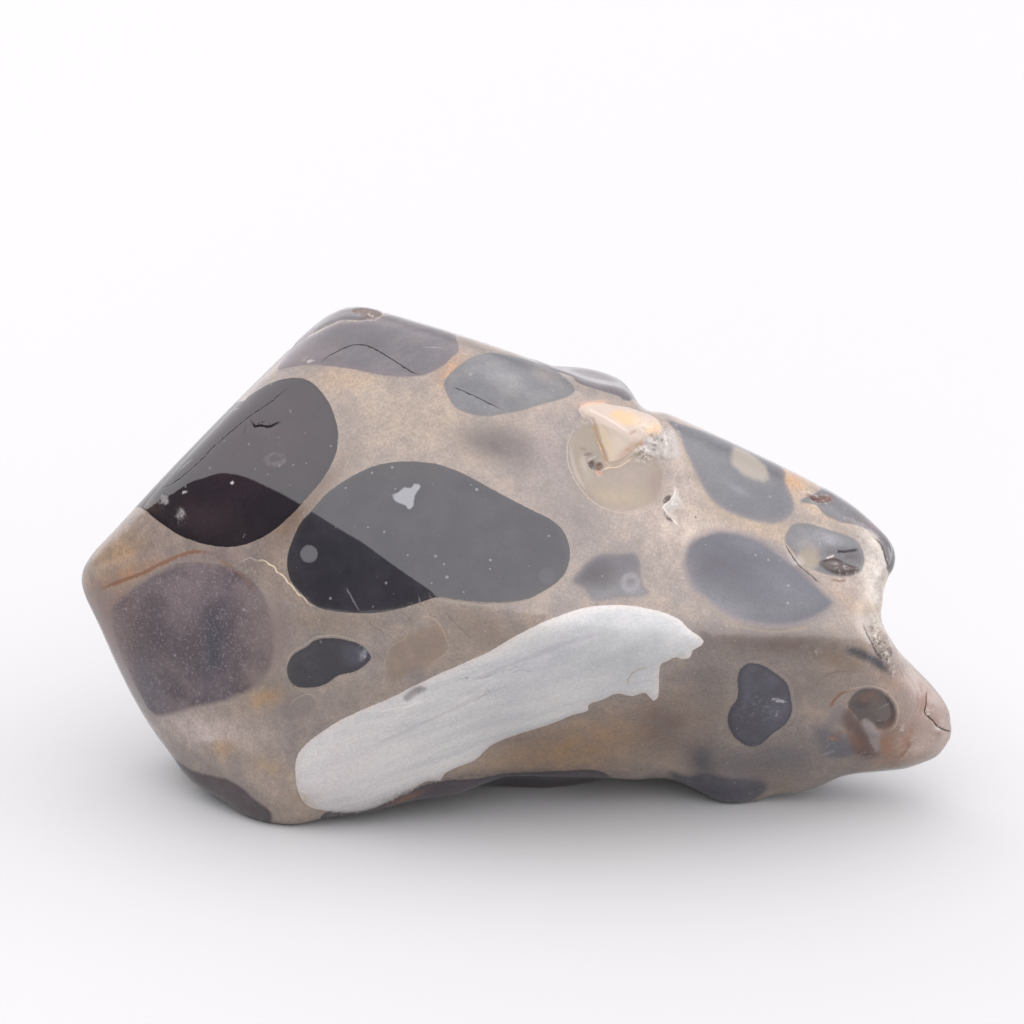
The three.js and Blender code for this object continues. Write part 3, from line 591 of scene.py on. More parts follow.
# Stains that lie over pebbles, cement and marks alike.
SURFACE_STAINS = [
    StainAndShading(18, 11.2, 1, 1.8, 0, tone(104, 86, 78, 0.5)),
    StainAndShading(-45.4, -5.6, 1.5, 4.4, 16, tone(118, 101, 99, 0.6)),
    StainAndShading(-43.6, -10.6, 1.2, 3.2, 24, tone(116, 104, 104, 0.6)),
    StainAndShading(-26.3, -5.6, 1.3, 5, 0, tone(106, 92, 88, 0.5)),
    StainAndShading(-28.4, -11.4, 1.6, 1.4, 0, tone(104, 90, 82, 0.5)),
    StainAndShading(13.6, 9.8, 3.4, 1, 0, tone(136, 120, 98, 0.5)),
    StainAndShading(9.4, 13.6, 0.8, 2.4, 0, tone(112, 98, 82, 0.5)),
    StainAndShading(15, 12.4, 2.2, 1.6, 0, tone(132, 118, 112, 0.5)),
    StainAndShading(12.2, 16, 0.5, 2.2, 22, tone(150, 128, 90, 0.5)),
    StainAndShading(14.8, 15, 1.4, 0.5, 40, tone(118, 88, 62, 0.6)),
    StainAndShading(10.6, 20.4, 1.6, 0.3, 8, tone(190, 140, 110, 0.5)),
    StainAndShading(16.4, 17.9, 1.6, 0.6, -20, tone(178, 160, 140, 0.6)),
    StainAndShading(39.8, -9.6, 3.4, 0.9, -14, tone(96, 78, 58, 0.5)),
    StainAndShading(45, -17.6, 1.2, 2.4, 0, tone(104, 72, 54, 0.4)),
    StainAndShading(47, -18.6, 0.5, 2, -24, tone(116, 74, 52, 0.55)),
    StainAndShading(44.8, -19.6, 0.7, 1.6, 10, tone(122, 80, 54, 0.5)),
    StainAndShading(46.9, -14.4, 0.9, 1.6, 0, tone(112, 102, 100, 0.5)),
    StainAndShading(44.9, -11.6, 1.6, 0.7, -30, tone(116, 96, 76, 0.4)),
    StainAndShading(49, -14.2, 0.6, 1.4, 0, tone(120, 82, 66, 0.5)),
    StainAndShading(38, -16.6, 1.4, 0.7, 10, tone(96, 86, 88, 0.5)),
    StainAndShading(42.3, -13.7, 1.3, 0.7, 20, tone(98, 72, 58, 0.6)),
    StainAndShading(43.6, -14.8, 0.8, 1.6, 20, tone(78, 74, 68, 0.6)),
    StainAndShading(41, -18.4, 0.5, 1.2, 30, tone(110, 72, 56, 0.5)),
    StainAndShading(25.6, -24.4, 3.4, 0.8, -4, tone(50, 50, 64, 0.6)),
    StainAndShading(29.8, -22.4, 2.6, 0.9, -30, tone(94, 85, 82, 0.5)),
    StainAndShading(-9, -24.5, 6, 0.9, 16, tone(44, 41, 50, 0.7)), StainAndShading(3, -22.7, 7, 0.7, 2, tone(44, 42, 52, 0.6)),
    StainAndShading(-10.8, -25.2, 2.2, 0.35, 22, tone(116, 78, 58, 0.6)),
    StainAndShading(32.7, -19.9, 2.4, 1, 0, tone(78, 79, 88, 0.4)),
    StainAndShading(-22.6, -25.4, 1.6, 1, 0, tone(124, 104, 82, 0.4)),
]
STAIN_AND_SHADING_LAYERS = {
    "cement_stain_and_shade": CEMENT_STAINS_AND_SHADE,
    "flint_stain_and_shading": FLINT_STAINS_AND_SHADING,
    "surface_stain": SURFACE_STAINS,
}

# Hollows, and swells where the height is above 0: where each lies, its reach and its height.
HOLLOWS = [
    (-9.9, -13.1, 1, -0.25), (-0.6, -11.2, 0.6, -0.16), (-3.4, -13.4, 0.8, -0.14), (5.7, -8.7, 0.4, -0.2),
    (2.9, -7.8, 0.4, -0.12), (10.4, -7.8, 0.4, -0.12), (38.4, 3.2, 2.2, -0.55), (35.6, 2.2, 1.2, -0.5),
    (37.6, 4.8, 1.2, 0.25), (39, 1.7, 1.2, 0.4), (43.6, -9.2, 1.2, -0.35), (44.6, -11.8, 1, -0.2),
    (41, -0.6, 1.4, -0.25), (13.4, 12.6, 3.8, -0.28), (12.6, 17.8, 1.4, 0.3), (10.6, 13.8, 0.9, -0.25),
    (37, 9.5, 1.1, -0.35), (50.4, -18.2, 0.4, -0.2), (48.4, -19, 0.4, -0.2), (46, 4.4, 0.35, -0.2),
    (-20, 25.2, 0.5, -0.1), (43, -15, 1.8, -0.15), (41.2, -18.4, 1.2, -0.2), (43.3, -17.6, 0.7, 0.25),
    (44.7, -8, 0.9, 0.35), (44.2, -6.4, 0.8, 0.3),
]

# Crumbly ground, where the polish never reached: where it lies, its reach and how rough it is.
CRUMBLES = [
    (18.4, 16, 1.7, 1), (16.6, 14.9, 1, 1.1), (19.8, 17.4, 1, 0.6), (16.8, 17.3, 1, 0.6),
    (43.9, -6.9, 1.1, 1.3), (44.8, -8.6, 1.1, 1.4), (43.2, -5.4, 0.8, 0.9), (45.3, -10.6, 0.8, 0.6),
    (20.2, 9, 1, 0.6), (19.6, 7.2, 0.7, 0.5), (-15.2, 30.8, 1, 0.9), (10.9, 13.6, 0.8, 0.6),
    (39.4, 1.2, 1.2, 0.4), (41.3, 0.9, 0.8, 0.6), (37, 9.6, 1.2, 0.5), (41.6, 5.9, 1.2, 0.4),
    (-24, -12.3, 0.5, 0.4), (-15.6, -8.8, 0.4, 0.4), (20.6, -8.9, 0.8, 0.3), (50.8, -17.6, 1, 0.5),
    (-38.9, 9.2, 0.5, 0.5), (-37, 7.4, 0.6, 0.5), (49.5, -15.2, 0.8, 0.7), (46.3, -17.3, 0.5, 0.6),
    (51, -17.2, 0.8, 0.6), (50, -18.4, 0.7, 0.5), (48.6, -13, 0.7, 0.4), (36.4, -8.4, 0.6, 0.4),
    (-16.6, 31.2, 0.6, 0.6), (11.4, 12.8, 0.6, 0.5), (-22.5, 25.2, 0.4, 0.4), (42.2, -20.3, 0.8, 0.3),
    (30, -14.5, 2.6, 0.1), (38.6, -18.8, 1.6, 0.12),
]

# Ground whose faces are cut finer: where it lies and its reach.
FINE_GROUND = [(14, 15.2, 6.8), (19.6, 8.4, 2.8), (42.2, -16.4, 4.6), (39.6, 2, 3.4), (44.4, -7.6, 2.8),
               (-15.4, 30.8, 2), (50.2, -15.6, 3), (37, 9.6, 1.8), (43.6, 4.2, 2.4)]
FINE_CUTS = (1, 0.68)  # each round of cutting reaches this share of the reach

# Where the outline of the stone is pushed in or out along the face: the place, its reach, and the
# push across and up.
PRESSES = [
    (-48, 1, 4.5, -1.6, 0), (-35.8, -23.5, 3, -0.6, -0.5), (-19.7, -27.2, 3, 0, 0.7),
    (20.5, -22.8, 3.5, 0, 1.3), (33.5, -24.5, 3.2, 0.3, -1.7), (45.3, 3, 3.4, 1.5, 0.2),
    (44.3, -4.8, 2.4, -1.5, 0), (51.5, -14, 4.5, 0.6, 0.2), (15, 22.5, 3, 0.2, 0.9),
    (-16.5, 31.4, 4, 0, 0.5), (-4.5, -22.8, 4.5, 0, -1.2), (4, -22.2, 5.5, 0, -1.4),
    (16.8, 20.5, 1.8, -0.2, -1), (36.4, -24.2, 3, 0.2, -1.5), (23.4, -23.6, 1.8, 0.2, 0.5),
    (44.6, -1, 2, -0.6, 0),
]
# Where the underside bulges down: its place in the stone's own frame, its reach along and across the
# stone, and how far down.
BULGES = [(4, -1, 9, 3.5, 2), (-6, -4, 6, 4, 0.8)]
BULGE_TOP = 9.0  # millimetres above the surface that the stone rests on: nothing higher is moved


class StoneShape(bpy.types.PropertyGroup):
    """Sizes of the stone's surface."""

    cell: bpy.props.FloatProperty(
        name="Cell", description="Width of the carved surface's cells",
        default=0.5 * MM, min=0.3 * MM, max=2 * MM, subtype="DISTANCE", unit="LENGTH",
    )
    waves: bpy.props.FloatProperty(
        name="Waves", description="Height of the slow waves that hand polishing leaves",
        default=0.03 * MM, min=0, max=1 * MM, subtype="DISTANCE", unit="LENGTH",
    )
    crumble: bpy.props.FloatProperty(
        name="Crumble", description="Height of the grains where the ground is crumbly",
        default=0.22 * MM, min=0, max=1 * MM, subtype="DISTANCE", unit="LENGTH",
    )
    seed: bpy.props.IntProperty(
        name="Seed", description="Chooses the pebbles on the hidden sides", default=11, min=0,
    )


class StoneFinish(bpy.types.PropertyGroup):
    """Colours and polish of the stone."""

    cement: bpy.props.FloatVectorProperty(
        name="Cement", description="Main colour of the sandy cement",
        default=tone(128, 116, 107), size=3, min=0, max=1, subtype="COLOR",
    )
    ash: bpy.props.FloatVectorProperty(
        name="Ash", description="Colour of the greyer drifts in the cement",
        default=tone(114, 105, 100), size=3, min=0, max=1, subtype="COLOR",
    )
    iron: bpy.props.FloatVectorProperty(
        name="Iron stain", description="Colour where iron has stained the cement",
        default=tone(134, 114, 92), size=3, min=0, max=1, subtype="COLOR",
    )
    cement_roughness: bpy.props.FloatProperty(
        name="Cement roughness", description="How dull the polished cement is",
        default=0.16, min=0, max=1, subtype="FACTOR",
    )


class StudioSettings(bpy.types.PropertyGroup):
    """The studio round the stone."""

    floor_tone: bpy.props.FloatVectorProperty(
        name="Floor", description="Colour of the plain floor",
        default=(0.41, 0.41, 0.41), size=3, min=0, max=1, subtype="COLOR",
    )
    light_tone: bpy.props.FloatVectorProperty(
        name="Light", description="Tint of all the light in the studio",
        default=(1.0, 0.982, 1.01), size=3, min=0, max=2, subtype="COLOR",
    )
    tent: bpy.props.FloatProperty(
        name="Tent light", description="Brightness of the soft tent over the stone",
        default=2.7, min=0, max=20,
    )
    rear: bpy.props.FloatProperty(
        name="Rear tent light", description="Brightness of the tent behind the stone, on its right",
        default=1.15, min=0, max=20,
    )
    walls: bpy.props.FloatProperty(
        name="Wall light", description="Brightness of the pale wall behind the stone",
        default=1.5, min=0, max=10,
    )
    right_wall: bpy.props.FloatProperty(
        name="Right wall light", description="Brightness of the wall on the right",
        default=3.2, min=0, max=10,
    )
    panel: bpy.props.FloatProperty(
        name="Panel light", description="Brightness of the low panel on the right",
        default=4.5, min=0, max=40,
    )
    room: bpy.props.FloatProperty(
        name="Room light", description="Brightness of the dark room in front of the stone",
        default=0.1, min=0, max=10,
    )


# ---- The surface, in millimetres, and places on it ----


def unit(vectors):
    """The vectors, each made one long."""
    vectors = np.asarray(vectors, float)
    return vectors / np.linalg.norm(vectors, axis=-1, keepdims=True)


def lengths(vectors):
    """How long each vector is."""
    return np.linalg.norm(vectors, axis=-1)


def bump(gap):
    """A smooth bump: 1 at no gap, and nearly nothing from a gap of 2."""
    return np.exp(-(gap**2))


def step(values, low, high):
    """Smooth step of the values from 0 at low to 1 at high."""
    share = np.clip((values - low) / (high - low), 0, 1)
    return share * share * (3 - 2 * share)


def vertex_places(mesh):
    """Every vertex of a mesh in millimetres."""
    places = np.empty(len(mesh.vertices) * 3)
    mesh.vertices.foreach_get("co", places)
    return places.reshape(-1, 3) / MM


def vertex_normals(mesh):
    """Every vertex normal of a mesh."""
    normals = np.empty(len(mesh.vertices) * 3)
    mesh.vertex_normals.foreach_get("vector", normals)
    return normals.reshape(-1, 3)


def move_vertices(mesh, places):
    """Puts every vertex of a mesh at its place in millimetres."""
    mesh.vertices.foreach_set("co", (places * MM).astype(np.float32).ravel())
    mesh.update()


class Skin:
    """The carved surface as something that rays can find."""

    def __init__(self, mesh):
        places = vertex_places(mesh)
        faces = [tuple(face.vertices) for face in mesh.polygons]
        self.tree = BVHTree.FromPolygons([Vector(place) for place in places], faces)

    def from_heart(self, direction):
        """Where the ray from the heart leaves the stone."""
        return np.array(self.tree.ray_cast(Vector(HEART), Vector(direction))[0])

    def hidden(self, points):
        """How far behind the visible surface the least hidden of the points lies."""
        depths = []
        for point in points:
            away = point - SIGHT
            hit = self.tree.ray_cast(Vector(SIGHT), Vector(unit(away)))[3]
            depths.append(0 if hit is None else np.linalg.norm(away) - hit)
        return min(depths)

    def at(self, place):
        """The point of the surface at a place given by two or three numbers."""
        if len(place) == 3:
            across, up, depth = place
            return self.from_heart(unit(across * ACROSS + up * UPWARD - depth * TOWARD))
        across, up = place
        target = HEART + across * ACROSS + up * UPWARD
        hit = self.tree.ray_cast(Vector(SIGHT), Vector(unit(target - SIGHT)))[0]
        return self.from_heart(unit(target - HEART)) if hit is None else np.array(hit)


def on_face(points):
    """Where the sight lines through points cross the plane of the face: across and up."""
    ahead = points - SIGHT
    crossing = SIGHT + ahead * (SIGHT_DISTANCE / -(ahead @ TOWARD))[:, None] - HEART
    return crossing @ ACROSS, crossing @ UPWARD


def smooth_line(points, steps=8, closed=True):
    """A curve that runs smoothly through the points."""
    knots = np.asarray(points, float)
    if not closed:
        knots = np.vstack((2 * knots[:1] - knots[1:2], knots, 2 * knots[-1:] - knots[-2:-1]))
    before, here, after, later = (np.roll(knots, -k, axis=0)[:, None] for k in (-1, 0, 1, 2))
    t = np.linspace(0, 1, steps, endpoint=False)[None, :, None]
    curve = 2 * here + (after - before) * t
    curve = curve + (2 * before - 5 * here + 4 * after - later) * t**2
    curve = curve + (3 * here - before - 3 * after + later) * t**3
    curve = curve / 2 if closed else curve[1:-2] / 2
    curve = curve.reshape(-1, knots.shape[1])
    return curve if closed else np.vstack((curve, knots[-2:-1]))


def on_skin(skin, points):
    """Points drawn in or out, along their rays from the heart, to the surface."""
    return np.array([skin.from_heart(direction) for direction in unit(points - HEART)])


def outline_on(skin, outline):
    """An outline given by places as a dense closed loop of surface points."""
    return on_skin(skin, smooth_line([skin.at(place) for place in outline]))


def nearest_on_line(points, line):
    """For each point: its distance to a line, the nearest segment and the share along it."""
    start = line[:-1]
    along = line[1:] - start
    length = np.maximum((along**2).sum(1), 1e-12)
    gaps, segments, shares = [], [], []
    for block in np.array_split(points, max(1, len(points) // 3000)):
        share = ((block @ along.T) - (start * along).sum(1)) / length
        share = np.clip(share, 0, 1)
        gap = block[:, None] - start - share[..., None] * along
        gap = (gap**2).sum(2)
        best = gap.argmin(1)
        rows = np.arange(len(block))
        gaps.append(np.sqrt(gap[rows, best]))
        segments.append(best)
        shares.append(share[rows, best])
    return np.concatenate(gaps), np.concatenate(segments), np.concatenate(shares)


def inside_loop(points, loop):
    """Whether each point lies inside a loop, both seen from the heart."""
    middle = unit((loop - HEART).mean(0))
    aside = unit(np.cross(middle, (0.3, 0.2, 1.0)))
    above = np.cross(middle, aside)

    def flat(places):
        rays = places - HEART
        depth = np.maximum(rays @ middle, 1e-6)
        return (rays @ aside) / depth, (rays @ above) / depth

    px, py = flat(points)
    lx, ly = flat(loop)
    nx, ny = np.roll(lx, -1), np.roll(ly, -1)
    crosses = (ly > py[:, None]) != (ny > py[:, None])
    rise = np.where(ny == ly, 1e-12, ny - ly)
    at = lx + (py[:, None] - ly) / rise * (nx - lx)
    ahead = (points - HEART) @ middle > 0
    return ((crosses & (px[:, None] < at)).sum(1) % 2 == 1) & ahead


def depth_inside(points, loop):
    """Signed distance to a loop in millimetres: positive inside, cut off at FAR either way."""
    middle = loop.mean(0)
    reach = lengths(loop - middle).max() + FAR
    near = np.flatnonzero(lengths(points - middle) < reach)
    depth = np.full(len(points), -FAR)
    if len(near):
        gap = nearest_on_line(points[near], np.vstack((loop, loop[:1])))[0]
        inside = inside_loop(points[near], loop)
        depth[near] = np.clip(np.where(inside, gap, -gap), -FAR, FAR)
    return depth


# ---- Carving ----

WELD = 0.01  # millimetres between vertices of the CAD solid's copy that become one
STONE_SMOOTHING = 16  # rounds of smoothing after the re-meshing
CUT_SMOOTHING = 3  # rounds of smoothing after the finer cuts
MOST_TRIANGLES = 200_000

# How the surface follows what is laid on it, in millimetres.
PEBBLE_RISE = (-0.2, 0.7)  # between these depths a pebble rises to its full height
GROOVE_DEPTH, GROOVE_HALF = -0.15, 0.4  # where the groove round a pebble runs, and half its width
MARK_RISE = (-0.1, 0.5)  # between these depths a mark reaches its full height
CUT_SPREAD = 0.25  # a cut is this much wider than the line painted in it, on both sides
LINE_REACH = 1.5  # a line shapes and colours nothing beyond this
LINE_FADE = 7  # a line fades out over one part in this many of its length, at both ends
WAVE_SIZE = 11  # of the slow waves in the polish
GRAIN_SIZE, DUST_SIZE = 0.9, 0.45  # of the two kinds of lumps in crumbly ground
LEAST_CRUMBLE = 0.02  # ground less crumbly than this stays smooth
GROUND_FADE = (0.05, 0.8)  # between these heights above the floor all of this fades in
FACING_FADE = (0.0, 0.12)  # marks fade in between these cosines of the angle to the sight line


def deselect_all():
    for each in bpy.context.selected_objects:
        each.select_set(False)


def apply_modifier(stone, kind, **values):
    """Adds a modifier to the stone, sets it and applies it."""
    modifier = stone.modifiers.new(kind.title(), kind)
    for name, value in values.items():
        setattr(modifier, name, value)
    bpy.ops.object.modifier_apply(modifier=modifier.name)


def rough_stone(cell):
    """A copy of the CAD solid, closed, re-meshed in even cells and smoothed."""
    deselect_all()
    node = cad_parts[NODE]
    node.select_set(True)
    bpy.context.view_layer.objects.active = node
    bpy.ops.object.duplicate()
    stone = bpy.context.view_layer.objects.active
    stone.name = "stone"
    stone.data.name = "stone"
    bpy.ops.object.mode_set(mode="EDIT")
    bpy.ops.mesh.select_all(action="SELECT")
    bpy.ops.mesh.remove_doubles(threshold=WELD * MM)
    bpy.ops.object.mode_set(mode="OBJECT")
    apply_modifier(stone, "REMESH", mode="VOXEL", voxel_size=cell, use_smooth_shade=True)
    apply_modifier(stone, "SMOOTH", factor=0.5, iterations=STONE_SMOOTHING)
    return stone


def press(mesh):
    """Pushes the outline in and out along the face, and the underside down, never below the ground."""
    points = vertex_places(mesh)
    across, up = on_face(points)
    moved = points.copy()
    for place_across, place_up, reach, push_across, push_up in PRESSES:
        gap = np.hypot(across - place_across, up - place_up) / reach
        share = bump(gap)[:, None]
        moved += share * (push_across * ACROSS + push_up * UPWARD)
    low = step(-points[:, 2], -BULGE_TOP, -BULGE_TOP / 2)
    for x, y, reach_x, reach_y, push in BULGES:
        gap = np.hypot((points[:, 0] - x) / reach_x, (points[:, 1] - y) / reach_y)
        moved[:, 2] -= push * low * bump(gap)
    moved[:, 2] = np.maximum(moved[:, 2], 0)
    move_vertices(mesh, moved)


def cut_finer(stone):
    """Cuts the faces of the ground that holds the finest detail, and smooths the cuts."""
    mesh = stone.data
    skin = Skin(mesh)
    places = [(skin.at((across, up)), reach) for across, up, reach in FINE_GROUND]
    deselect_all()
    stone.select_set(True)
    bpy.context.tool_settings.mesh_select_mode = (False, False, True)
    for share in FINE_CUTS:
        middles = np.empty(len(mesh.polygons) * 3)
        mesh.polygons.foreach_get("center", middles)
        middles = middles.reshape(-1, 3) / MM
        chosen = np.zeros(len(middles), bool)
        for place, reach in places:
            chosen |= lengths(middles - place) < reach * share
        mesh.vertices.foreach_set("select", np.zeros(len(mesh.vertices), bool))
        mesh.edges.foreach_set("select", np.zeros(len(mesh.edges), bool))
        mesh.polygons.foreach_set("select", chosen)
        bpy.ops.object.mode_set(mode="EDIT")
        bpy.ops.mesh.subdivide(number_cuts=1)
        bpy.ops.object.mode_set(mode="OBJECT")
    apply_modifier(stone, "SMOOTH", factor=0.5, iterations=CUT_SMOOTHING)


def random_outline(skin, chance, size):
    """A wobbly oval of a given half length somewhere on the surface."""
    middle = skin.from_heart(unit([chance.gauss(0, 1) for _ in range(3)]))
    away = unit(middle - HEART)
    aside = unit(np.cross(away, [chance.gauss(0, 1) for _ in range(3)]))
    above = np.cross(away, aside)
    slim = chance.uniform(0.5, 0.92)
    wobbles = [(k, chance.uniform(0, 0.13) / (k - 1), chance.uniform(0, 6.3)) for k in (2, 3, 4, 5)]
    points = []
    for angle in np.linspace(0, 2 * math.pi, 20, endpoint=False):
        swell = 1 + sum(height * math.cos(k * angle + turn) for k, height, turn in wobbles)
        points.append(middle + size * swell * (math.cos(angle) * aside + slim * math.sin(angle) * above))
    return on_skin(skin, smooth_line(points, 6))


def hidden_pebbles(skin, loops, seed):
    """Pebbles packed on the sides that the sight line doesn't reach."""
    chance = random.Random(seed)
    taken = [loop for _, loop in loops]
    found = []
    for size in HIDDEN_SIZES:
        for _ in range(HIDDEN_TRIES):
            loop = random_outline(skin, chance, size)
            if skin.hidden(loop[::4]) < HIDDEN_DEPTH:
                continue
            middle = loop.mean(0)
            clear = True
            for other in taken:
                apart = lengths(loop[:, None] - other[None, ::2]).min()
                if apart < HIDDEN_GAP or inside_loop(middle[None], other)[0]:
                    clear = False
                    break
            if clear:
                flint = chance.choice(HIDDEN_FLINTS)
                soft, groove = chance.choice(HIDDEN_EDGES), chance.choice(HIDDEN_GROOVES)
                pebble = Pebble(flint, soft, HIDDEN_PROUD, groove, None)
                found.append((pebble, loop))
                taken.append(loop)
                break
    return found


def deepest(points, depths):
    """Finds for every vertex how deep it lies in the nearest of some outlines, and which that is."""
    depth = np.full(len(points), -FAR)
    owner = np.zeros(len(points), int)
    for index, here in enumerate(depths):
        nearer = here > depth
        depth[nearer] = here[nearer]
        owner[nearer] = index
    return depth, owner


def mark_depth(points, skin, mark):
    """How deep every vertex lies in a mark, whose hole is outside it."""
    depth = depth_inside(points, outline_on(skin, mark.outline))
    if mark.hole:
        depth = np.minimum(depth, -depth_inside(points, outline_on(skin, mark.hole)))
    return depth


def lay_lines(points, normals, skin):
    """Signed distance to the nearest line, its number and its strength, which fades at its ends."""
    side = np.full(len(points), FAR)
    owner = np.zeros(len(points), int)
    strength = np.zeros(len(points))
    for index, each in enumerate(LINES):
        curve = on_skin(skin, smooth_line([skin.at(place) for place in each.places], 6, closed=False))
        middle = curve.mean(0)
        reach = lengths(curve - middle).max() + LINE_REACH + 1
        near = np.flatnonzero(lengths(points - middle) < reach)
        gap, segment, share = nearest_on_line(points[near], curve)
        along = (curve[1:] - curve[:-1])[segment]
        turn = np.cross(along, points[near] - curve[segment])
        sign = np.where((turn * normals[near]).sum(1) > 0, 1.0, -1.0)
        closer = gap < np.abs(side[near])
        chosen = near[closer]
        side[chosen] = (sign * gap)[closer]
        owner[chosen] = index
        run = (segment + share) / (len(curve) - 1)
        strength[chosen] = np.clip(LINE_FADE * np.minimum(run, 1 - run), 0, 1)[closer]
    strength[np.abs(side) > LINE_REACH] = 0
    return side, owner, strength


def lay_stains_and_shading(points, facing, stains):
    """The stains and painted shading laid over each other: a colour and a strength for every vertex."""
    across, up = on_face(points)
    colour = np.zeros((len(points), 3))
    strength = np.zeros(len(points))
    for stain in stains:
        turn = math.radians(stain.turn)
        x, y = across - stain.across, up - stain.up
        along = (x * math.cos(turn) + y * math.sin(turn)) / stain.reach
        aside = (y * math.cos(turn) - x * math.sin(turn)) / stain.rise
        share = stain.colour[3] * np.exp(-(along**2 + aside**2)) * facing
        total = share + strength * (1 - share)
        mixed = np.array(stain.colour[:3]) * share[:, None] + colour * (strength * (1 - share))[:, None]
        colour = mixed / np.maximum(total, 1e-6)[:, None]
        strength = total
    return np.column_stack((colour, strength))


def lay_crumbles(points, skin):
    """How crumbly the ground is at every vertex, from 0 to 1."""
    crumble = np.zeros(len(points))
    for across, up, reach, rough in CRUMBLES:
        gap = lengths(points - skin.at((across, up))) / reach
        crumble = np.maximum(crumble, rough * bump(gap))
    return crumble


def ripple(points, size, seed):
    """Smooth noise about 0 at every point, with waves of about a size in millimetres."""
    offset = Vector((seed * 17.3, seed * 5.1, seed * 9.7))
    return np.array([noise.noise(Vector(point) / size + offset) for point in points])


def store(mesh, name, values):
    """Keeps a number, three numbers or a colour for every vertex, for the material to read."""
    width = 1 if values.ndim == 1 else values.shape[1]
    kind, field = {1: ("FLOAT", "value"), 3: ("FLOAT_VECTOR", "vector"), 4: ("FLOAT_COLOR", "color")}[width]
    attribute = mesh.attributes.new(name, kind, "POINT")
    attribute.data.foreach_set(field, values.astype(np.float32).ravel())


def owned(items, owner, *fields):
    """For each field, its value in the item that each vertex belongs to."""
    return [np.array([getattr(item, field) for item in items])[owner] for field in fields]


def carve(mesh, skin, shape):
    """Lays pebbles, marks, lines, stains and painted shading on the surface, and shapes it to them."""
    points = vertex_places(mesh)
    normals = vertex_normals(mesh)
    facing = step((unit(SIGHT - points) * normals).sum(1), *FACING_FADE)

    loops = [(pebble, outline_on(skin, pebble.outline)) for pebble in PEBBLES.values()]
    loops += hidden_pebbles(skin, loops, shape.seed)
    pebbles = [pebble for pebble, _ in loops]
    depth, owner = deepest(points, (depth_inside(points, loop) for _, loop in loops))
    proud, groove, soft = owned(pebbles, owner, "proud", "groove", "soft")
    height = proud * step(depth, *PEBBLE_RISE)
    height -= groove * bump((depth - GROOVE_DEPTH) / GROOVE_HALF)
    height += ripple(points, WAVE_SIZE, 1) * shape.waves / MM

    flints = [FLINTS[pebble.flint] for pebble in pebbles]
    body, specks, gloss = owned(flints, owner, "body", "specks", "gloss")
    store(mesh, "pebble_form", np.column_stack((depth, soft, gloss)))
    store(mesh, "pebble_body", np.column_stack((body, specks)))
    for field in ("cloud", "rim", "streak"):
        store(mesh, "pebble_" + field, *owned(flints, owner, field))

    for name, marks in MARK_LAYERS.items():
        depth, owner = deepest(points, (mark_depth(points, skin, mark) for mark in marks))
        depth = np.where(facing > 0, depth, -FAR)
        colour, soft, lift, rough = owned(marks, owner, "colour", "soft", "lift", "rough")
        height += lift * step(depth, *MARK_RISE)
        store(mesh, name + "_form", np.column_stack((depth, soft, rough)))
        store(mesh, name + "_tone", colour)

    side, owner, strength = lay_lines(points, normals, skin)
    strength *= facing
    colour, half, cut = owned(LINES, owner, "colour", "half", "cut")
    height -= cut * strength * bump(side / (half + CUT_SPREAD))
    store(mesh, "line_form", np.column_stack((side, half, strength)))
    store(mesh, "line_tone", colour)

    for name, stains in STAIN_AND_SHADING_LAYERS.items():
        store(mesh, name, lay_stains_and_shading(points, facing, stains))

    for across, up, reach, rise in HOLLOWS:
        gap = lengths(points - skin.at((across, up))) / reach
        height += rise * bump(gap)
    crumble = lay_crumbles(points, skin)
    rubbly = crumble > LEAST_CRUMBLE
    grains = ripple(points[rubbly], GRAIN_SIZE, 2) + 0.6 * ripple(points[rubbly], DUST_SIZE, 3)
    height[rubbly] += crumble[rubbly] * grains * shape.crumble / MM
    store(mesh, "crumble", crumble)

    ground = step(points[:, 2], *GROUND_FADE)
    move_vertices(mesh, points + normals * (height * ground)[:, None])


# ---- Material ----


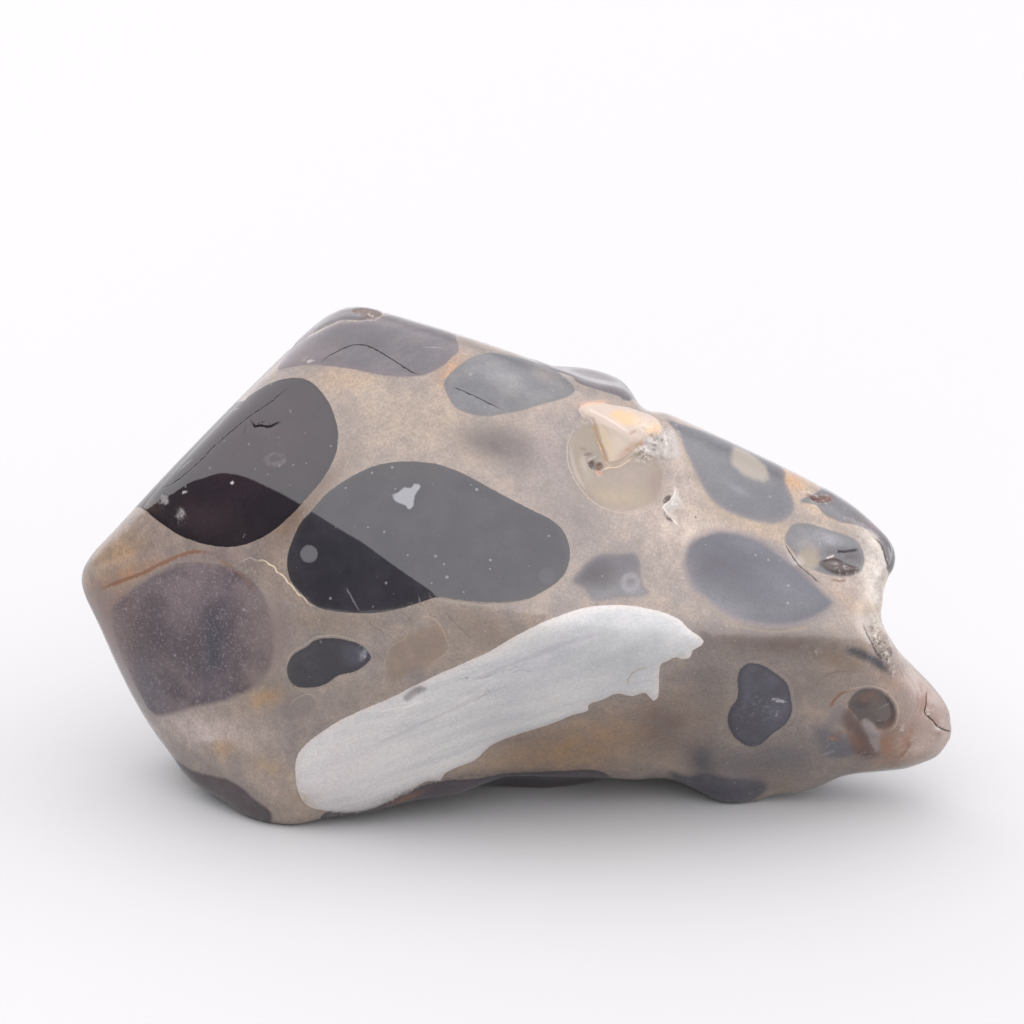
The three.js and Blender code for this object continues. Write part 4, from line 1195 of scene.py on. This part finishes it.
class Graph:
    """Short ways to add and link the nodes of one material or world."""

    def __init__(self, tree):
        self.tree = tree
        self.tree.nodes.clear()

    def add(self, kind, **settings):
        node = self.tree.nodes.new(kind)
        for name, value in settings.items():
            setattr(node, name, value)
        return node

    def link(self, source, target):
        if isinstance(source, (int, float, tuple)):
            target.default_value = source
        else:
            self.tree.links.new(source, target)

    def maths(self, operation, *values, clamp=False):
        node = self.add("ShaderNodeMath", operation=operation, use_clamp=clamp)
        for socket, value in zip(node.inputs, values):
            self.link(value, socket)
        return node.outputs[0]

    def times(self, first, second, clamp=False):
        return self.maths("MULTIPLY", first, second, clamp=clamp)

    def either(self, kind, share, first, second, **settings):
        """A mix of two numbers, places or colours: the node has sockets for all three kinds."""
        number = ("FLOAT", "VECTOR", "RGBA").index(kind)
        node = self.add("ShaderNodeMix", data_type=kind, **settings)
        self.link(share, node.inputs[0])
        self.link(first, node.inputs[2 + 2 * number])
        self.link(second, node.inputs[3 + 2 * number])
        return node.outputs[number]

    def mix(self, share, first, second, blend="MIX"):
        return self.either("RGBA", share, first, second, blend_type=blend)

    def midway(self, share, first, second):
        return self.either("VECTOR", share, first, second)

    def between(self, share, first, second):
        return self.either("FLOAT", share, first, second)

    def ramp(self, value, low, high, out_low=0.0, out_high=1.0):
        """Smooth step of a value from low to high."""
        node = self.add("ShaderNodeMapRange", interpolation_type="SMOOTHSTEP")
        for socket, number in zip(node.inputs, (value, low, high, out_low, out_high)):
            self.link(number, socket)
        return node.outputs[0]

    def number(self, name):
        return self.add("ShaderNodeAttribute", attribute_name=name).outputs["Fac"]

    def numbers(self, name):
        """The three numbers stored under a name."""
        split = self.add("ShaderNodeSeparateXYZ")
        self.link(self.add("ShaderNodeAttribute", attribute_name=name).outputs["Vector"], split.inputs[0])
        return split.outputs[0], split.outputs[1], split.outputs[2]

    def colour(self, name):
        """The colour stored under a name, and its fourth number."""
        node = self.add("ShaderNodeAttribute", attribute_name=name)
        return node.outputs["Color"], node.outputs["Alpha"]

    def noise(self, place, scale, detail, roughness=0.5):
        node = self.add("ShaderNodeTexNoise", noise_dimensions="3D")
        self.link(place, node.inputs["Vector"])
        node.inputs["Scale"].default_value = scale
        node.inputs["Detail"].default_value = detail
        node.inputs["Roughness"].default_value = roughness
        return node.outputs["Fac"]

    def cells(self, place, scale):
        """Distance to the middle of the nearest of many scattered cells, and the cell's own chance."""
        node = self.add("ShaderNodeTexVoronoi", voronoi_dimensions="3D", feature="F1")
        self.link(place, node.inputs["Vector"])
        node.inputs["Scale"].default_value = scale
        chance = self.add("ShaderNodeSeparateColor")
        self.link(node.outputs["Color"], chance.inputs[0])
        return node.outputs["Distance"], chance.outputs[0], chance.outputs[1]

    def place(self, scale=(1, 1, 1), turn=(0, 0, 0)):
        """Object coordinates in millimetres, turned and then scaled."""
        mapping = self.add("ShaderNodeMapping", vector_type="TEXTURE")
        mapping.inputs["Rotation"].default_value = turn
        mapping.inputs["Scale"].default_value = tuple(MM / value for value in scale)
        self.link(self.add("ShaderNodeTexCoord").outputs["Object"], mapping.inputs["Vector"])
        return mapping.outputs["Vector"]


PIT, CHALK = tone(66, 56, 52, 1), tone(164, 156, 148, 1)  # in the cement
SPECK, SPARKLE = tone(132, 130, 130, 1), tone(130, 120, 124, 1)  # in the flint
BITS, GAPS = tone(176, 170, 164, 1), tone(58, 48, 46, 1)  # in crumbly ground
STREAK_TURN = math.radians(-24)  # how the streaks in flint slope
FLINT_IOR = 1.55

# Noises and cells are given by how many of them go into a millimetre. The first two numbers of a ramp
# are the values of the noise, or the distances, between which it runs.


def spots(graph, cells, size, kept):
    """Round spots of a size, in cell widths, in the share of the cells that is kept."""
    distance, chance, other = cells
    radius = graph.times(size, graph.maths("MULTIPLY_ADD", other, 0.8, 0.4))
    inner = graph.times(radius, 0.55)
    round_spot = graph.ramp(distance, radius, inner)
    return graph.times(round_spot, graph.maths("LESS_THAN", chance, kept))


def stained_and_shaded(graph, name, base, noise, low, high, least, most):
    """A layer of stains and painted shading over a colour, which a noise frays."""
    stain, strength = graph.colour(name)
    frayed = graph.times(strength, graph.ramp(noise, low, high, least, most), clamp=True)
    return graph.mix(frayed, base, stain)


def inside_edge(graph, depth, soft):
    """From 0 outside an outline to 1 inside it, over the softness of its edge both ways."""
    return graph.ramp(depth, graph.times(soft, -1.0), soft)


def cement_colour(graph, finish, drift, mottle, grain, broad_cells, close_cells):
    """Sandy cement: drifting tones, iron, grains, small dark pits and chalky flecks."""
    base = graph.mix(graph.ramp(drift, 0.36, 0.62), (*finish.cement, 1.0), (*finish.ash, 1.0))
    iron = graph.ramp(mottle, 0.48, 0.74, 0.0, 0.35)
    base = graph.mix(iron, base, (*finish.iron, 1.0))
    base = stained_and_shaded(graph, "cement_stain_and_shade", base, mottle, 0.25, 0.7, 0.6, 1.2)
    shade = graph.ramp(mottle, 0.3, 0.72, 0.88, 1.1)
    sand = graph.ramp(grain, 0.34, 0.66, 0.91, 1.09)
    cell = graph.ramp(close_cells[2], 0.0, 1.0, 0.965, 1.035)
    shade = graph.times(shade, cell)
    base = graph.mix(1.0, base, graph.times(shade, sand), blend="MULTIPLY")
    pits = spots(graph, broad_cells, 0.08, 0.2)
    base = graph.mix(graph.times(pits, 0.6), base, PIT)
    chalk = spots(graph, close_cells, 0.16, 0.35)
    return graph.mix(graph.times(chalk, 0.25), base, CHALK)


def flint_colour(graph, mottle, grain, dither, depth, broad_cells, close_cells):
    """Flint of every kind: clouds or streaks, an inner rim, pale specks and sparkle."""
    body, specks = graph.colour("pebble_body")
    cloud, cloudiness = graph.colour("pebble_cloud")
    rim, rim_strength = graph.colour("pebble_rim")
    streak = graph.number("pebble_streak")
    round_way = graph.place((0.3, 0.3, 0.3))
    long_way = graph.place((0.06, 0.6, 0.6), (0, STREAK_TURN, 0))
    clouds = graph.noise(graph.midway(streak, round_way, long_way), 1.0, 4, 0.62)
    clouds = graph.ramp(clouds, 0.38, 0.68)
    base = graph.mix(graph.times(clouds, cloudiness), body, cloud)
    base = stained_and_shaded(graph, "flint_stain_and_shading", base, mottle, 0.25, 0.7, 0.6, 1.2)
    band = graph.ramp(depth, 0.8, 0.05)
    base = graph.mix(graph.times(band, rim_strength), base, rim)
    base = graph.mix(1.0, base, graph.ramp(grain, 0.3, 0.7, 0.93, 1.07), blend="MULTIPLY")
    sparse = spots(graph, broad_cells, 0.13, 0.7)
    dust = spots(graph, close_cells, 0.1, 0.25)
    sparse = graph.maths("MAXIMUM", sparse, graph.times(dust, 0.45))
    sparse = graph.times(sparse, graph.maths("MINIMUM", specks, 1.0))
    base = graph.mix(graph.times(sparse, 0.6), base, SPECK)
    sparkle = graph.maths("SUBTRACT", specks, 1.0, clamp=True)
    sparkle = graph.times(graph.ramp(grain, 0.5, 0.62), sparkle)
    sparkle = graph.times(graph.ramp(dither, 0.42, 0.6), sparkle)
    return graph.mix(graph.times(sparkle, 0.36), base, SPARKLE)


def laid_over(graph, name, base, roughness, wobble):
    """One layer of marks over a colour and a roughness."""
    depth, soft, rough = graph.numbers(name + "_form")
    colour, strength = graph.colour(name + "_tone")
    frayed = graph.maths("MULTIPLY_ADD", wobble, graph.maths("ADD", soft, 0.14), depth)
    inside = graph.times(inside_edge(graph, frayed, soft), strength)
    return graph.mix(inside, base, colour), graph.between(inside, roughness, rough)


def stone_material(finish):
    """Polished flint and cement in one material."""
    material = bpy.data.materials.new("puddingstone")
    material.use_nodes = True
    graph = Graph(material.node_tree)
    place = graph.place()
    drift = graph.noise(place, 0.12, 2)
    mottle = graph.noise(place, 0.45, 4, 0.62)
    grain = graph.noise(place, 3.6, 2, 0.6)
    rubble = graph.noise(place, 1.7, 3, 0.7)
    broad_cells = graph.cells(place, 0.7)
    close_cells = graph.cells(place, 1.2)
    wobble = graph.maths("SUBTRACT", rubble, 0.5)

    depth, soft, gloss = graph.numbers("pebble_form")
    slow = graph.times(graph.maths("SUBTRACT", mottle, 0.5), soft)
    frayed = graph.maths("MULTIPLY_ADD", slow, 2.4, graph.maths("MULTIPLY_ADD", wobble, 0.16, depth))
    inside = inside_edge(graph, frayed, soft)
    cement = cement_colour(graph, finish, drift, mottle, grain, broad_cells, close_cells)
    flint = flint_colour(graph, mottle, grain, rubble, depth, broad_cells, close_cells)
    colour = graph.mix(inside, cement, flint)
    dull = graph.ramp(grain, 0.3, 0.7, finish.cement_roughness - 0.04, finish.cement_roughness + 0.06)
    roughness = graph.between(inside, dull, gloss)

    for name in MARK_LAYERS:
        colour, roughness = laid_over(graph, name, colour, roughness, wobble)
    colour = stained_and_shaded(graph, "surface_stain", colour, rubble, 0.3, 0.65, 0.6, 1.3)

    side, half, strength = graph.numbers("line_form")
    line_tone, line_strength = graph.colour("line_tone")
    wander = graph.maths("ABSOLUTE", graph.maths("MULTIPLY_ADD", wobble, 0.3, side))
    width = graph.times(half, graph.ramp(rubble, 0.3, 0.7, 0.7, 1.4))
    line = graph.ramp(wander, graph.times(width, 1.5), graph.times(width, 0.5))
    line = graph.times(graph.times(line, strength), line_strength)
    colour = graph.mix(line, colour, line_tone)

    crumble = graph.number("crumble")
    bits = graph.times(crumble, graph.ramp(rubble, 0.52, 0.62), clamp=True)
    colour = graph.mix(graph.times(bits, 0.9), colour, BITS)
    gaps = graph.times(crumble, graph.ramp(rubble, 0.43, 0.36), clamp=True)
    colour = graph.mix(graph.times(gaps, 0.9), colour, GAPS)
    roughness = graph.between(graph.ramp(crumble, 0.05, 0.5), roughness, 0.55)

    edge = graph.ramp(depth, -0.15, 0.15)
    flat = graph.maths("SUBTRACT", 1.0, edge)
    relief = graph.times(edge, 0.02)
    relief = graph.maths("MULTIPLY_ADD", graph.times(grain, flat), 0.012, relief)
    relief = graph.maths("MULTIPLY_ADD", graph.times(rubble, crumble), 0.35, relief)
    relief = graph.maths("MULTIPLY_ADD", line, -0.03, relief)
    fine = graph.add("ShaderNodeBump")
    fine.inputs["Distance"].default_value = MM
    graph.link(relief, fine.inputs["Height"])

    shader = graph.add("ShaderNodeBsdfPrincipled")
    shader.inputs["IOR"].default_value = FLINT_IOR
    graph.link(colour, shader.inputs["Base Color"])
    graph.link(roughness, shader.inputs["Roughness"])
    graph.link(graph.between(line, 0.5, 0.05), shader.inputs["Specular IOR Level"])
    graph.link(fine.outputs[0], shader.inputs["Normal"])
    output = graph.add("ShaderNodeOutputMaterial")
    graph.link(shader.outputs[0], output.inputs["Surface"])
    return material


# ---- Operators ----


class OBJECT_OT_puddingstone(bpy.types.Operator):
    """Carve the puddingstone, lay its pebbles and polish it"""

    bl_idname = "object.puddingstone"
    bl_label = "Puddingstone"

    def execute(self, context):
        shape = context.scene.stone_shape
        stone = rough_stone(shape.cell)
        press(stone.data)
        cut_finer(stone)
        carve(stone.data, Skin(stone.data), shape)
        stone.data.materials.clear()
        stone.data.materials.append(stone_material(context.scene.stone_finish))
        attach(stone, "root")
        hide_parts(NODE)
        if sum(len(face.vertices) - 2 for face in stone.data.polygons) >= MOST_TRIANGLES:
            raise RuntimeError("the stone has too many triangles: make its cells wider")
        return {"FINISHED"}


FLOOR_SIZE = 8  # metres


def studio_floor(settings):
    """A wide plain floor."""
    deselect_all()
    bpy.ops.mesh.primitive_plane_add(size=FLOOR_SIZE, location=(0, 0, 0))
    floor = bpy.context.object
    floor.name = "floor"
    material = bpy.data.materials.new("floor")
    material.use_nodes = True
    shader = material.node_tree.nodes["Principled BSDF"]
    shader.inputs["Base Color"].default_value = (*settings.floor_tone, 1)
    shader.inputs["Roughness"].default_value = 0.7
    shader.inputs["Specular IOR Level"].default_value = 0.2
    floor.data.materials.append(material)


# The directions across which the studio's light changes. They are set so that the stone's broad facets
# mirror the edges of the tent towards the camera.
TENT_EDGE, TENT_FRONT, TENT_REAR = (0.079, 0.279, 0.957), (0.871, 0.481, 0.101), (0.6, 0.8, 0)
BACK_WALL, PANEL = (0.5, 0.85, 0), (0.93, 0.06, 0.37)


def studio_world(settings):
    """Soft light: a tent, pale walls, a panel and a dark room in front. The camera sees a pale wall."""
    world = bpy.data.worlds.new("studio")
    bpy.context.scene.world = world
    world.use_nodes = True
    graph = Graph(world.node_tree)
    split = graph.add("ShaderNodeSeparateXYZ")
    way = graph.add("ShaderNodeTexCoord").outputs["Generated"]
    graph.link(way, split.inputs[0])
    x, y, z = split.outputs

    def along(direction):
        """How far each direction goes along this one."""
        node = graph.add("ShaderNodeVectorMath", operation="DOT_PRODUCT")
        graph.link(way, node.inputs[0])
        graph.link(direction, node.inputs[1])
        return node.outputs["Value"]

    light = graph.ramp(along(BACK_WALL), -0.35, 0.15, settings.room, settings.walls)
    light = graph.between(graph.ramp(x, 0.4, 0.7), light, settings.right_wall)
    upper = graph.ramp(along(TENT_EDGE), 0.324, 0.332)
    front = graph.ramp(along(TENT_FRONT), -0.742, -0.735)
    front = graph.times(front, graph.ramp(y, -0.3, -0.4))
    tent = graph.times(graph.maths("MAXIMUM", upper, front), graph.ramp(z, -0.1, 0.02))
    strength = graph.ramp(along(TENT_REAR), 0.25, 0.7, settings.tent, settings.rear)
    light = graph.between(tent, light, strength)
    light = graph.between(graph.ramp(along(PANEL), 0.93, 0.95), light, settings.panel)
    seen = graph.add("ShaderNodeLightPath").outputs["Is Camera Ray"]
    light = graph.between(seen, light, settings.walls)
    background = graph.add("ShaderNodeBackground")
    background.inputs["Color"].default_value = (*settings.light_tone, 1)
    graph.link(light, background.inputs["Strength"])
    output = graph.add("ShaderNodeOutputWorld")
    graph.link(background.outputs[0], output.inputs["Surface"])


def studio_camera():
    """The camera at the sight point, looking along the sight line."""
    data = bpy.data.cameras.new("camera")
    camera = bpy.data.objects.new("camera", data)
    bpy.context.scene.collection.objects.link(camera)
    data.sensor_width = 36
    data.lens = data.sensor_width * SIGHT_DISTANCE / SIGHT_SPAN
    data.clip_start = 0.01
    data.clip_end = 20
    turn = Matrix((ACROSS, UPWARD, TOWARD)).transposed()
    camera.matrix_world = Matrix.Translation(Vector(SIGHT * MM)) @ turn.to_4x4()
    bpy.context.scene.camera = camera


class SCENE_OT_puddingstone_studio(bpy.types.Operator):
    """Set up the floor, the soft light and the camera"""

    bl_idname = "scene.puddingstone_studio"
    bl_label = "Studio"

    def execute(self, context):
        settings = context.scene.studio
        studio_floor(settings)
        studio_world(settings)
        studio_camera()
        context.scene.view_settings.view_transform = "Standard"
        context.scene.view_settings.look = "None"
        return {"FINISHED"}


class VIEW3D_PT_puddingstone(bpy.types.Panel):
    """Lists the steps that build the puddingstone"""

    bl_label = "Puddingstone"
    bl_space_type = "VIEW_3D"
    bl_region_type = "UI"
    bl_category = "Puddingstone"

    def draw(self, context):
        scene = context.scene
        layout = self.layout
        for settings in (scene.stone_shape, scene.stone_finish):
            for name in settings.__annotations__:
                layout.prop(settings, name)
        layout.operator(OBJECT_OT_puddingstone.bl_idname)
        for name in scene.studio.__annotations__:
            layout.prop(scene.studio, name)
        layout.operator(SCENE_OT_puddingstone_studio.bl_idname)


CLASSES = (
    StoneShape,
    StoneFinish,
    StudioSettings,
    OBJECT_OT_puddingstone,
    SCENE_OT_puddingstone_studio,
    VIEW3D_PT_puddingstone,
)


def register():
    for each in CLASSES:
        bpy.utils.register_class(each)
    bpy.types.Scene.stone_shape = bpy.props.PointerProperty(type=StoneShape)
    bpy.types.Scene.stone_finish = bpy.props.PointerProperty(type=StoneFinish)
    bpy.types.Scene.studio = bpy.props.PointerProperty(type=StudioSettings)


def unregister():
    del bpy.types.Scene.studio
    del bpy.types.Scene.stone_finish
    del bpy.types.Scene.stone_shape
    for each in reversed(CLASSES):
        bpy.utils.unregister_class(each)


def main():
    register()
    bpy.ops.object.puddingstone()
    bpy.ops.scene.puddingstone_studio()


if __name__ == "__main__":
    main()
